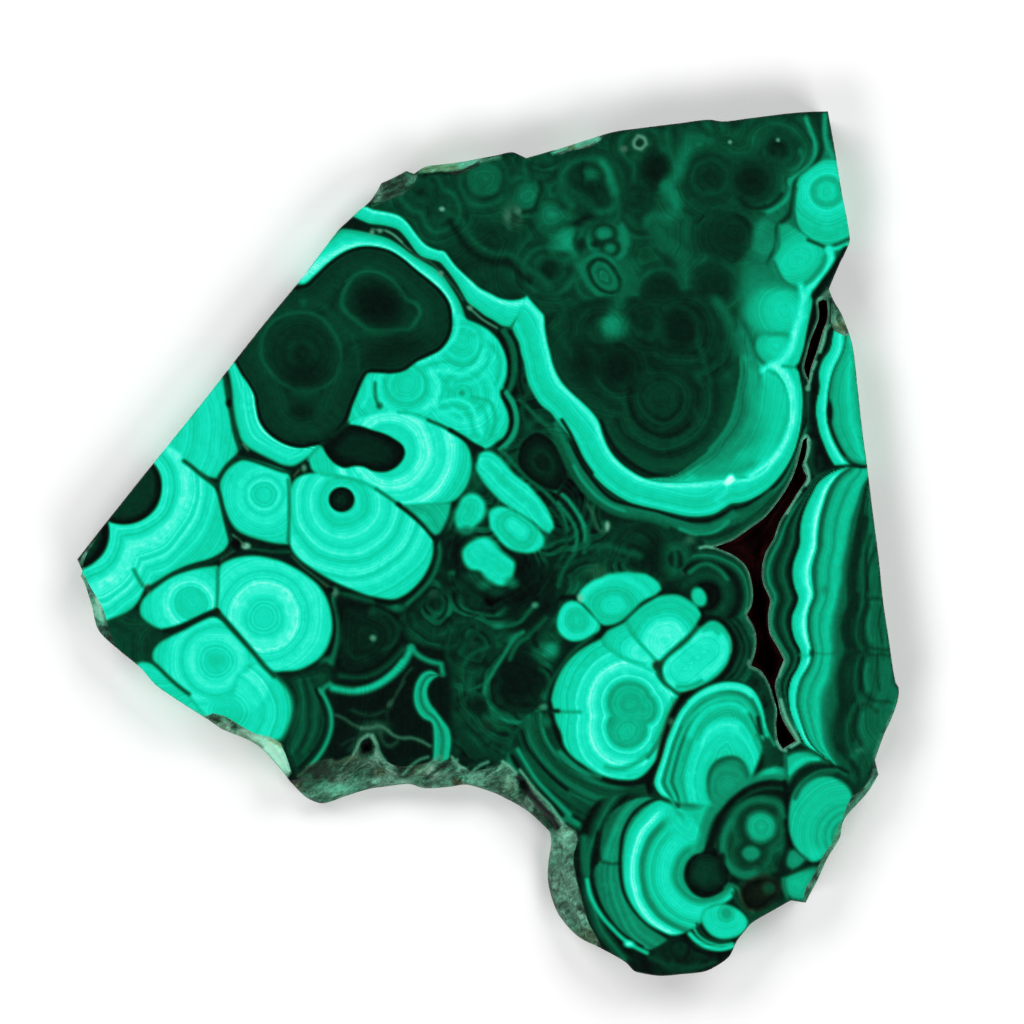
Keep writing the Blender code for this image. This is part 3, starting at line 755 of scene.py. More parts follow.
# Dark field between the top rim and the wave band.
UPPER_DARK = """
growth soft=6 fine=7 period=5.2 seed=200 wobble=4 mottle=10 | 372,196 406,170 440,164 512,152 590,138
  640,128 709,119 790,113 830,111 840,160 800,180 780,240 750,300 738,340 700,300 640,305 560,318 545,318
  527,297 500,298 470,280 444,252 420,242 405,220 372,210 | -20:36 0:42 6:70 11:46 17:76 23:44 30:66 38:44
  60:50 | 484,180,6 528,196,4 590,188,14 555,215,3 604,240,8 604,276,10 617,312,8 710,178,12 752,181,10
  735,235,14 660,292,8 714,285,8 655,170,6 440,210,4 545,166,4 640,145,4 778,148,8 690,140,6 550,270,8
  420,190,4 640,215,6 680,235,3
growth soft=8 fine=7 period=5 seed=201 wobble=3 mottle=9 | 640,215 668,190 690,160 712,140 740,128 800,118
  812,140 808,165 790,185 780,215 760,250 748,300 742,330 700,300 660,240 | -16:34 0:40 8:68 14:50 20:80
  28:58 36:84 50:68 | 712,178,14 778,150,6 752,182,10 735,235,14 714,285,8
cell fine=6 seed=50 soft=6 | 466,164 482,160 498,163 504,172 503,186 497,195 484,198 470,194 464,182 /
  485,180 | 0:46 .25:92 .7:88 1:98
cell fine=7 seed=51 soft=3.4 grow=2.5 | 512,192 520,186 530,182 540,188 542,197 536,206 527,210 516,206 /
  528,196 | 0:74 .2:98 1:110
spot 8 7 84 .8 | 511,206
spot 9.5 12 92 .35 grey=.3 | 513,217
spot 5.5 7.5 58 .6 grey=.2 | 514,219
spot 3 3 120 .9 grey=.5 | 518,211
spot 3 4.6 108 .8 grey=.5 | 508,216
spot 7 6 58 .9 | 508,190
cell fine=6 seed=52 soft=3.2 grow=1 | 538,214 541,204 549,202 558,203 566,210 573,219 564,223 556,228
  546,229 539,223 / 552,214 | 0:80 .2:98 .7:112 1:138
line 5 22 4 | 560,230 570,227 579,221 588,217 594,214
line 3 30 3 | 524,212 534,209 538,200 541,190 540,182
cell fine=9 seed=53 soft=5 | 524,160 533,164 547,167 558,161 566,153 578,146 592,141 600,140 594,148 582,154
  572,162 560,170 545,173 532,170 / 548,164 | 0:40 .4:84 1:96
spot 7 3.4 72 .8 | 540,176
cell fine=9 seed=54 soft=5 alpha=.5 | 470,175 478,180 486,188 484,196 475,198 466,190 / 478,189 | 0:80 1:90
# eye
cell fine=8 seed=55 soft=6 | 560,208 559,190 560,175 566,165 577,160 590,158 603,160 613,167 619,180 620,200
  614,215 600,222 586,212 572,206 / 596,188 | 0:34 .12:50 .4:62 .7:46 1:30
line 6.5 94 5 | 572,206 564,196 562,184 563,173 572,164 585,160.5 598,160 607,167 612,178 616,190 617,202
  610,211 598,212
line 7 112 5 | 601,163 607,170 610,180 614,191
line 4 124 4 | 603,164 608,171 610,180
line 9 66 6 | 566,190 574,196 584,200 592,206
spot 17 14 38 .35 | 586,176
spot 9.5 8 84 .6 | 590,175
spot 4.2 3.4 100 .9 | 592,174
spot 4.4 5 50 .8 | 577,176
line 3 30 2.6 | 583,165 581,171 583,178 580,186
line 13 34 4 | 590,187 597,192 602,200
spot 4.5 7 50 .7 turn=-.4 | 602,198
# crescent and rings
spot 19 17 106 .35 | 568,244
spot 9 12 140 .8 | 567,242
spot 9 4 62 .8 | 562,255
line 4 58 3.4 | 578,232 575,240 576,248 581,253
spot 5.4 6.6 32 .6 | 582,244
cell soft=4 | 585,238 591,226 602,220 615,222 624,230 629,244 627,257 616,264 602,262 590,254 / 606,242 |
  0:74 .14:116 .5:110 1:70
spot 13.6 11.6 42 .3 | 604,233.5
spot 8.6 6.8 122 .45 | 604,233.5
spot 10.6 9.4 44 .3 | 610,248
spot 5.6 4.8 118 .6 | 610,248.4
spot 5 3.6 34 .7 | 596,244
line 4 128 4 | 622,226 626,234 627,244
cell fine=4 seed=57 soft=5 grow=1 | 572,262 583,258 592,253 602,252 613,258 622,268 630,280 627,292 617,300
  602,299 590,292 580,278 / 587,266 594,259 603,258 612,264 619,274 623,285 618,293 609,294 599,290 591,281
  / 593,270 598,263 605,265 611,272 616,281 615,288 608,289 600,285 595,278 / 604,276 | 0:78 .25:104 .55:114
  .85:98 1.12:46 1.45:46 1.8:98 2.15:112 2.4:84 2.62:116 2.8:92 3:122
spot 11 8 92 .6 | 629,268
# long faint lines
line 5 78 3.4 | 440,209 450,214 460,218 466,228 472,239 481,247 493,253 507,254 515,256 523,264 533,272
  545,280 551,294
line 6 66 5 | 551,292 560,301 574,304 590,304
line 4 20 4 | 450,222 458,234 466,246 478,256 494,262 508,262 518,272 530,282
line 3 52 3 | 514,252 512,242 515,229
line 3 58 3 | 426,182 431,196 438,206
line 3.4 74 3 | 573,306 574,322 572,345
line 5 58 4 | 537,285 547,300 553,318 556,335
line 3 56 3 | 640,176 648,184 651,195 648,206 640,213
spot 16 18 42 .3 | 637,198
line 2.6 60 2.6 closed=1 | 626,188 634,182 643,184 648,194 646,206 637,212 628,208 624,198
spot 5 5 58 .9 | 632,196
spot 7 5 72 .8 | 637,158
spot 13 16 18 .7 | 655,170
# small light specks
line 3.6 150 2 closed=1 grey=.75 | 634,142 638,136 644,138 646,144 641,149 635,147
spot 3.4 3.4 46 .6 | 640,143
spot 3.6 3 112 .8 grey=.75 | 624,149
spot 2.8 2.4 168 .5 grey=.75 | 442,209
spot 2 2 170 .6 grey=.7 | 730,142
spot 2 2 160 .6 grey=.7 | 778,140
# round eye at the upper right
cell fine=9 seed=60 soft=6 | 680,128 700,130 716,137 720,148 712,156 698,158 686,166 678,160 678,145 /
  700,146 | 0:56 .35:88 1:104
spot 30 30 50 .25 | 710,178
line 6 76 5 | 712,146 722,152 736,152 750,149 762,140 770,127
spot 21 21 34 .2 | 710,177
line 5 70 4 closed=1 | 710,160 720,163 727,171 728,181 722,190 712,194 701,192 694,185 693,174 698,165
line 5 64 4 | 684,172 690,158 702,150 716,150 730,158 738,170 738,186 730,200 716,208 700,208 688,200
spot 12 12 54 .3 | 710,177
spot 8 8 38 .4 | 710,177
line 12 106 6 | 686,150 681,162 677,176 668,184 667,192 674,200 676,208 669,216 660,219 650,222
line 6 124 5 | 670,188 675,195 677,204
spot 5 4 112 .8 | 665,186
line 6 64 4 | 656,222 666,232 676,237 686,245 692,254 700,250
line 13 88 7 | 655,224 664,238 676,250 684,262 686,280 690,300
line 4 74 4 | 652,226 650,242 656,256 664,268
spot 23 22 60 .25 | 752,181
spot 19 18 38 .4 | 752,181
spot 11 11 28 .8 | 752,181
spot 28 22 48 .25 | 722,237
spot 18 16 40 .9 | 730,240
line 2.6 26 2.4 | 697,222 706,215 722,212 738,215 748,224 751,238 746,252 736,259
line 4 76 4 | 754,214 758,228 755,244 746,258 738,266
spot 18 16 36 .5 | 661,290
spot 21 20 46 .25 | 711,283
spot 12 12 36 .9 | 716,288
line 3 66 3 | 692,268 690,282 695,296 706,304
line 4 52 3 | 690,212 705,214 722,212 740,207 752,207
spot 9 8 24 .8 | 655,165
"""

# Small cells and dark rings in the middle of the slab.
MIDDLE = """
# mottled dark field of the middle and its arcs
cell soft=5 fine=8 seed=80 | 440,505 470,450 510,330 560,420 590,480 600,520 680,530 668,580 580,600 560,640
  545,720 520,760 455,760 448,700 440,660 400,640 420,590 440,560 / 540,580 | 0:20 .3:34 1:26
growth soft=5 fine=17 period=3 seed=203 wobble=7 mottle=20 | 420,610 440,560 448,520 470,450 500,400 512,340
  560,420 590,480 600,520 680,530 668,580 600,600 560,640 545,720 520,760 455,760 448,700 446,662 400,640 |
  -38:22 -8:26 0:42 4:82 8:36 13:74 18:32 24:78 30:38 37:70 46:40 | 438,603,6 498,572,38 522,688,22
  474,650,0 560,505,34 640,560,10
growth soft=10 fine=6 seed=205 mottle=6 alpha=.8 | 500,550 540,560 560,570 560,600 540,640 520,650 500,600
  470,600 440,590 446,540 470,530 500,600 | 0:10 30:16 60:26 | 500,560,20
spot 34 24 40 .7 alpha=.6 | 640,545
spot 14 18 22 .8 | 655,560
line 6 78 3.6 | 590,547 605,546 620,550 640,556
line 5 60 2.8 | 590,560 605,556 622,560
line 4 60 2.1 | 600,585 588,590 580,592
spot 9 7 82 .8 warm=.1 | 597,572
line 3.2 92 2.6 grey=.3 | 588,506 593,514 596,524 600,531 606,531
spot 2.6 5 168 .6 grey=.8 | 607.5,526
spot 10 8 44 .8 | 625,535
# teal line pairs
line 4 96 2.1 | 500,449 508,457 516,466 526,476 538,486 548,495 556,504 563,515 567,530
line 4.4 142 2.2 | 555,490 566,498 574,508 581,519 585,530 586,541
line 4 112 2.1 | 558,503 567,514 575,527 577,540 574,552
line 3 64 2.1 | 550,508 560,520 566,534 566,548 560,560
line 2.4 20 1.8 | 562,500 571,511 578,523 581,536
line 4 82 2.4 | 576,552 568,562 562,574 558,586
line 4 92 2.8 | 588,530 588,540 584,552
line 7 84 2.8 | 506,331 512,346 514,362 512,376 509,390
line 3 56 2.1 | 514,334 519,352 521,368 522,382 528,396
line 4.4 146 2.1 | 503,388 509,396 514,406 517,418 514,430 508,440 500,448
spot 5 5 10 .6 | 513,392
line 4 88 2.1 | 520,400 530,410 540,420 552,430 562,442 570,456 576,472 583,486 590,498
line 3 96 2.6 | 566,445 572,460 577,476 585,490
cell soft=3 | 519,446 526,436 536,431 546,434 556,444 563,455 567,468 565,482 558,492 547,490 536,484
  526,476 517,464 / 543,463 | 0:70 .1:12 .35:26 .6:46 .7:24 1:30
line 4 62 2.8 | 520,384 524,398 522,412 526,424
line 3 16 2.1 | 566,470 564,486 556,497
# capsules
growth soft=2.4 fine=5 period=2.2 seed=82 wobble=2 mottle=7 grow=1 joined=1 | 478,462 480,455 485,452
  492,453 500,459 507,467 513,474 520,480 527,485 534,493 541,501 547,510 551,519 553,527 549,532 543,529
  535,522 524,515 512,508 501,500 493,492 486,484 480,475 477,468 | 0:206 2:204 4:214 7:226 9:214 11:222
  14:206 | 486,463,0 498,475,0 516,491,0 534,507,0 548,526,0
growth soft=3.4 fine=4 period=2.2 seed=83 wobble=2.4 mottle=9 grow=1 joined=1 | 463,498 470,494 478,496
  484,503 485,512 481,520 474,526 470,531 463,531 457,525 456,515 459,506 | -2:204 2:206 4:200 7:214 10:218
  13:200 | 471,506,2 467,518,2
growth soft=2.6 fine=6 period=2.2 seed=84 wobble=1.4 mottle=4 grow=1 joined=1 | 490,520 490,512 496,508
  505,508 516,513 527,520 537,529 543,538 542,546 535,551 524,552 512,549 503,543 496,534 491,527 | -7:226
  -3:228 0:214 2:186 5:206 8:196 10:216 13:228 16:206 | 511,524,7 522,533,6
growth soft=3.4 fine=4 period=2.2 seed=85 wobble=2.4 mottle=9 grow=1 joined=1 | 463,552 468,545 476,540
  486,538 495,543 501,551 508,557 514,563 513,572 510,580 503,585 494,583 486,578 480,571 471,569 465,563 |
  -2:212 4:218 7:208 10:222 13:206 | 478,552,2 500,571,2
spot 9 5 70 .9 | 473,577
spot 6 5 112 .9 | 512,583
spot 8 5 104 .9 | 484,585
spot 7 4 110 .9 | 466,531
spot 8 4 60 .9 | 497,592
# arcs of the mottled field
line 5 60 2.8 | 404,618 407,630 414,640 426,647 441,649 456,646 469,638 480,626
line 4 52 2.8 | 412,614 420,628 434,636 450,636 464,628 474,616
line 5 50 2.8 | 418,606 430,598 445,592 458,588 470,592 480,600
line 6 46 3.6 | 440,570 455,580 470,592 476,606
line 4 86 2.1 | 481,616 488,623 497,627 508,626 520,622 528,613 534,606
spot 5 2.6 120 .8 | 498,626
spot 3.4 3 140 .8 grey=.4 | 535,605
spot 3 3 104 .9 grey=.5 | 473,644
spot 4 4 70 .9 grey=.3 | 434,594
spot 7 6 34 .9 alpha=.7 | 438,603
spot 16 14 40 .8 alpha=.75 | 474,650
spot 3.4 4 84 .9 | 434,616
spot 3.4 2.6 90 .9 | 452,573
line 3 58 2.1 | 486,630 494,638 503,642
spot 6 6 92 .7 | 506,638
cell soft=4 | 500,640 506,633 516,630 528,632 524,639 518,646 514,656 510,664 503,668 502,656 508,648 /
  512,640 | 0:30 .5:86 1:100
line 4 78 2.8 | 530,634 538,627 546,618
spot 25 34 18 .35 alpha=.9 | 517,680
line 4 122 2.2 | 523,632 515,637 508,648 502,658 496,667 491,676 486,684 484,693 487,702 493,711 502,718
  512,722 522,722 531,718 537,712
line 4 92 2.6 | 528,637 520,642 514,650 510,659
line 3 42 2.8 | 500,680 496,690 500,702 512,711 526,710 538,700 545,688
line 3 34 2.8 | 512,700 522,702 532,696 540,684
line 4 76 2.2 | 489,647 478,651 469,657 463,667 463,679 469,688 477,694 484,698
line 3 90 2.1 | 470,690 480,686 484,684
line 4 62 2.4 | 470,694 463,704 466,718 476,729 490,737 505,739 519,735 530,727
line 6 48 3.6 | 452,664 451,690 451,712 458,732 470,747 487,756 507,758
spot 6 7 90 .8 | 494,717
spot 4 4 46 .9 warm=.15 | 488,726
spot 9 9 24 .8 | 478,706
spot 6 4 88 .8 | 522,731
spot 7 5 116 .9 | 542,652
spot 11 12 70 .8 | 548,650
spot 7 8 142 .7 | 551,649
spot 3 3 104 .9 | 543,645
spot 3 2.4 120 .9 | 545,655
line 3 18 2.6 | 536,634 534,640 537,646
spot 10 5 66 .8 | 551,638
line 3.4 84 2.6 | 592,638 581,645 571,654 561,667 553,680 547,692
spot 4 5 92 .8 | 545,697
spot 5 3.4 126 .7 grey=.3 | 544,707
"""

# Arcs, ribbon and veins above the lower left rind.
LOWER_LEFT = """
# near-black field with light veins
cell soft=4 | 332,600 345,598 380,602 400,615 410,640 445,650 450,690 452,760 470,780 380,800 330,780
  326,740 336,700 334,670 / 385,690 | 0:16 .3:16 1:14
cell soft=4 fine=6 seed=120 | 342,604 360,604 382,612 396,624 398,640 390,656 374,668 352,674 340,668
  338,640 / 368,636 | 0:12 .2:34 .5:30 .75:40 1:24
line 3 62 3 | 372,608 386,614 396,624 398,634 393,644 384,650
line 3 50 3 | 370,614 382,620 390,630 390,640
line 5 70 4 | 340,676 360,678 378,672 394,660 404,648
line 3 14 2 | 342,682 362,682 380,677 396,664 406,652
line 4 44 4 | 345,640 352,656 366,660
spot 3.2 3.2 142 .7 grey=.6 | 373,638
spot 4 3 62 .9 | 373,612
# green strips under the light cell
cell soft=3 | 372,600 385,603 398,603 409,601 414,597 410,605 405,613 397,614 388,611 380,606 / 396,607 |
  0:30 .5:92 1:110
line 4.4 74 3 | 340,592 352,596 362,599 374,602
line 4 104 2.6 | 438,540 440,552 438,563 433,576 425,587 415,597 407,604
line 4.4 10 2.4 | 432,558 428,570 421,582 411,592 400,599 388,602 376,600
line 3 50 3 | 404,614 400,622 404,632 410,640
# strip right of the round cell
line 5.6 100 3.2 | 332,592 333,606 336,620 337,635 335,650 331,662
line 3.6 10 2.2 | 329,600 333,615 334,632 331,646 325,658 315,666 302,671 288,672
spot 6 5 110 .8 | 327,662
line 3.4 90 3 | 300,674 312,671 322,664
# arcs beside the lower left lobe
cell soft=3 fine=5 seed=122 | 275,676 290,674 310,669 326,662 334,670 332,684 322,690 326,700 331,715
  330,730 324,745 314,760 303,772 294,778 286,760 283,745 289,730 294,715 295,700 291,688 282,680 / 308,716
  | 0:20 .15:62 .5:70 1:64
line 3.4 92 3 | 300,680 303,700 304,718 300,736 292,752
line 3.4 40 3 | 304.2,680 309,700 310,718 306,736 298,752
line 3.4 84 3 | 308.4,680 315,700 316,718 312,736 304,752
line 3.4 46 3 | 312.6,680 321,700 322,718 318,736 310,752
line 4 170 2.6 | 320,690 326,700 331,714 331,729 326,744 318,757 308,768
line 2.6 18 2 | 316,690 322,702 326,716 325,730 320,743 311,756 300,768
line 4 150 3 | 330,684 324,688 322,692
line 7 178 3.4 | 333,688 346,690.5 357,691 369,688.5 381,683 392,675 402,665 408,655 411,648
line 3.4 196 3 | 358,690 370,687 382,681 393,672 402,661
line 5 150 3 | 411,647 418,655 429,661 441,664 443,674
# ribbon
strip soft=2.6 fine=7 seed=124 | 441,676 431,670 422,673 415,684 413,698 416,710 423,719 431,723 433,735
  433,748 432,762 / 443,674 433,680 428,690 430,701 437,711 443,719 450,729 452,741 451,752 449,762 | 0:110
  .1:172 .3:178 .48:116 .55:120 .7:176 .9:176 1:90
# veins
spot 15 7 74 .9 alpha=.8 grey=.3 | 374,729
line 4 62 4 grey=.3 | 368,728 361,735 356,742 350,750
line 3 66 3 grey=.3 | 366,724 376,722 386,724
line 3 74 3 grey=.5 | 380,732 383,742 390,746 397,742
line 3 84 2.4 grey=.6 | 336,715 345,719 352,724 361,728
line 3 118 2.4 grey=.6 | 361,728 370,728 379,726 386,729 393,735 401,738 412,738 421,741 430,746
line 2.6 70 2.6 grey=.6 | 404,682 398,691 393,700 389,706
spot 2.6 4.4 84 .9 turn=.5 grey=.6 | 390,704
line 2.4 46 2.6 grey=.4 | 389,708 387,716 388,722
line 3 60 3 grey=.3 | 352,710 362,714 374,715 384,711
line 2 56 2.6 grey=.5 | 342,745 350,740 358,738
line 2.4 60 2 grey=.3 | 412,668 405,676 400,688
# grey lines above the bottom rim
line 3 190 2 grey=.6 | 503,762 509,766 514,772 518,776
line 3 150 2 grey=.6 | 520,770 530,782 540,795 550,806 557,816 563,824
"""

# Arcs under the large round lobe.
LOWER_MIDDLE = """
# arcs under the large lobe
cell soft=4 fine=6 seed=90 | 530,715 548,712 556,740 575,762 600,778 640,784 652,790 655,800 640,812 610,825
  600,850 590,880 575,860 556,830 540,810 520,790 505,765 515,740 / 580,800 | 0:24 .2:36 1:34
growth soft=3 fine=13 period=2.4 seed=204 wobble=2 mottle=7 | 530,715 548,712 556,740 575,762 600,778
  640,784 652,790 655,800 640,812 610,825 600,850 590,880 575,860 556,830 540,810 520,790 505,765 515,740 |
  0:20 4:30 8:90 12:40 17:96 21:44 27:104 32:44 38:78 44:34 52:60 58:100 62:110 66:24 90:20 | 622,706,66
line 4 120 2.8 | 541,715 543,730 549,744 560,757 574,768 590,778 608,784 628,787
line 5 66 2.8 | 536,716 535,730 541,746 552,760 566,772 582,783 600,791 620,796
line 6 104 2.8 | 529,718 528,734 535,750 546,764 560,777 576,788 594,797 614,802
line 3.4 14 2.8 | 522,730 527,746 538,762 551,776 565,788 580,799 596,808
line 4.6 148 2.8 | 518,750 527,765 536,779 549,794 560,805 569,814 578,822
line 4 8 2.8 | 512,756 520,769 529,781 542,794 553,805 562,815
line 4 74 2.8 | 528,756 538,770 551,784 566,797 582,809 600,817
line 4 96 2.8 | 570,792 588,803 606,811 622,810
line 6 66 2.8 | 588,812 600,822 604,836 598,850
line 4 20 2.8 | 574,816 588,826 594,842
spot 7 5 96 .8 | 546,722
spot 6 6 84 .8 | 528,724
spot 12 5 60 .8 | 636,792
"""

# Cells at the left point and along the left rim.
LEFT_PART = """
# dark seams between the light cells
cell | 60,440 240,340 340,440 440,520 440,540 400,600 340,592 330,600 330,640 318,662 290,672 276,676
  290,695 292,715 285,740 240,760 60,700 / 200,560 | 0:22 1:22
growth soft=2 fine=10 period=3 seed=3 | 100,622 112,618 124,613 134,607 142,615 150,624 160,631 170,634
  160,641 152,650 151,662 146,672 118,655 100,640 | 0:30 8:52 16:40 24:58 40:60 | 140,590,10 170,650,6
# light cells from left to right
shells seed=5 fine=6 | 222,377 224,390 226,403 229,415 231,428 234,440 237,449 234,456 227,463 221,471
  217,477 210,476 203,472 196,467 188,461 160,450 170,430 | 0:208 60:210 64:220 68:224 73:206 80:212 86:224
  90:220 94:208 99:224 104:212 112:206 | 120,430
growth soft=2 fine=7 period=2.6 seed=8 wobble=2 mottle=3 grow=1.5 | 146,452 165,446 176,452 184,461 192,467
  200,474 207,480 212,486 216,495 219,507 222,520 225,532 227,542 223,549 216,554 207,558 196,561 184,565
  174,570 165,576 156,582 149,586 144,586 141,593 136,602 129,609 119,614 109,618 100,622 70,572 76,550
  100,520 | 0:150 1.5:238 5:230 9:222 12:206 15:222 18:243 24:247 29:244 32:224 34:238 37:212 40:236 43:230
  46:212 50:230 54:224 58:206 66:208 | 124,487,37 71,532,37.5
line 3 120 2.4 | 134,570 138,578 143,586
line 3.6 60 2 | 184,461 192,467 200,474 208,480 216,486
spot 3 4 60 .8 grey=.5 | 148,589
spot 37.5 37.5 6 .05 | 124,487
spot 33.5 33.5 46 .1 | 123,486
spot 38 38.5 8 .05 | 71,532
spot 33 34 52 .1 | 68,531
shells drift=-.2,.12 seed=12 fine=6 | 141,608 144,600 151,593 160,586 172,578 185,573 200,569 216,567
  216,585 215,606 209,611 195,618 180,624 168,628 158,627 148,621 142,615 | 0:208 6:214 12:209 17:216 20:232
  24:241 27:236 30:220 33:232 37:214 46:206 | 195,601
shells seed=16 | 154,652 160,644 172,637 185,631 200,623 213,618 222,622 232,632 245,646 258,660 268,671
  262,700 240,714 200,716 182,697 172,690 164,683 157,672 154,662 | 0:194 7:198 10:213 17:216 20:230 25:239
  29:241 31:230 34:212 37:220 40:234 44:236 47:216 52:220 57:208 70:208 | 216,661
shells seed=14 alpha=.92 soft=5 | 232,700 240,676 256,664 268,671 277,679 285,687 291,698 292,712 288,726
  281,738 271,741 256,742 225,722 208,728 190,708 205,704 | 0:206 14:212 22:226 27:238 32:241 36:222 40:236
  46:240 50:216 54:232 58:222 64:206 | 228,712
shells seed=15 | 139,664 150,664 159,669 169,678 179,687 187,695 205,716 225,728 190,725 160,700 130,676 |
  0:200 30:206 36:220 42:204 60:212 | 160,640
line 3.4 60 2.2 | 150,660 158,667 168,677 178,686 189,694
shells drift=0,-.05 seed=18 fine=6 | 221,567 230,561 241,558 254,557 268,559 282,563 296,570 308,578 319,588
  326,600 330,614 331,630 327,645 320,656 309,664 297,669 283,670 273,670 264,661 250,645 236,628 222,612
  218,606 219,590 | 0:212 12:215 19:220 23:234 27:240 31:238 34:247 36:240 38:218 40:232 42.5:216 45:212
  48:228 51:238 56:239 60:226 64:220 72:212 | 264,618
shells seed=20 | 222,480 227,471 234,465 243,461 252,461 263,464 275,468 285,472 289,478 289,495 288,520
  287,543 275,542 262,539 249,535 239,530 232,522 227,511 223,500 221,490 | 0:211 7:216 10:208 13:232 16:239
  19:214 22:226 26:238 30:233 33:212 37:220 42:208 50:214 60:204 | 264,495
line 2.6 140 1.6 | 218,568 218,585 217,606
line 4 64 2.2 | 217,612 232,629 250,649 264,666 274,676
line 4.6 22 2 | 165,631 180,627 195,620 210,613 217,611
spot 3.4 3 30 .7 warm=.3 | 216.5,612
# line round the groups
line 3 46 2 | 149,588 160,581 172,574 186,569 200,565 213,561 222,556 231,549
line 2.4 52 2 | 217,484 221,497 224,512 227,526 231,540
line 3 50 2 | 240,457 254,461 268,466 282,471 290,472
line 4 62 2 | 225,378 228,392 230,405 233,420 236,435 240,448
spot 3 4 6 .6 | 229,403
line 4 48 2 | 219,478 224,470 230,463 237,457
# ribbon left of the twin-eye cell
strip fine=4 seed=22 soft=2 grow=1 | 228,366 231,378 233,392 234,405 236,418 239,430 242,439 248,446 258,452
  270,458 283,464 293,465 301,461 308,456 312,463 317,469 323,473 336,474 / 237,358 241,370 248,382 254,393
  256,406 259,420 266,431 277,440 290,446 303,448 315,446 321,444 327,454 335,463 346,468 | 0:190 .12:214
  .3:210 .45:234 .6:212 .7:236 .8:212 .9:252 .97:244 1:200
# lobe around the capsule
shells drift=.2,0 seed=24 fine=5 | 310,458 318,451 322,446 348,424 365,415 380,412 400,410 412,412 425,419
  440,425 452,432 461,440 467,448 470,458 470,470 467,482 462,491 454,499 445,502 430,503 403,504 388,496
  376,489 358,481 340,477 322,474 313,469 | 0:210 20:218 24:210 28:226 31:243 35:247 40:241 42.5:218 45:238
  48:220 51:239 55:248 58:243 62:222 66:206 74:204 | 384,451 | 0:-20 2:0
line 2 150 2 | 308,460 312,453 318,447
# cell with the dot
shells drift=.1,.1 seed=26 fine=6 | 291,500 291,492 294,483 299,478 308,475 322,474 340,477 358,481 376,489
  388,497 400,506 412,516 422,526 430,535 432,545 431,557 427,568 421,578 413,587 404,594 394,598 382,597
  368,594 352,588 338,582 325,575 312,567 301,559 294,551 291,542 | 12:200 14:228 17:214 21:212 25:204
  29:220 33:237 37:239 41:220 44:210 47:230 50:238 53:228 57:206 60:226 64:237 68:230 72:210 76:234 80:238
  84:214 88:230 92:210 96:226 102:208 115:214 | 341,499 | 0:-30 2:0
spot 12.8 12.3 10 .1 | 341.5,499.5
spot 7 7 38 .5 | 341,500
line 2.4 176 2.4 | 322,474 340,477 358,481 376,489
line 2.6 96 2 | 376,489 388,497 400,506
line 4.4 22 1.8 | 398,504 412,515 424,526 434,538
line 2.6 124 1.8 | 288,480 289,500 289,520 288,541
# triangle
growth soft=2.4 fine=12 period=3 seed=28 mottle=8 | 403,505 420,503.5 437,503 451,503 449,514 444,526
  440,533 436,535 431,532 424,524 414,514 | 30:170 50:150 60:180 75:186 | 380,560,0
# lines round the groups
line 3 66 1.6 | 251,549 262,550 275,552 290,552
line 2.4 74 1.6 grey=.35 | 292,556 302,566 312,574 322,582 332,589
spot 4.6 3.4 190 .6 grey=.8 | 246,546
line 2.2 110 1.6 grey=.6 | 233,535 239,540 244,545
spot 4 5 4 .5 warm=.4 | 236,544
line 2.4 70 1.6 grey=.5 | 221,560 228,555 234,551
line 2.2 130 1.6 grey=.5 | 243,444 248,450
spot 2.8 3.6 130 .7 grey=.6 | 304,468
line 2 90 1.6 warm=.6 | 294,476 299,470
spot 3.6 4.6 120 .7 grey=.5 | 335,592
line 2.6 70 1.6 warm=.4 | 322,582 329,588
spot 3.2 2.6 6 .5 | 330,590
"""

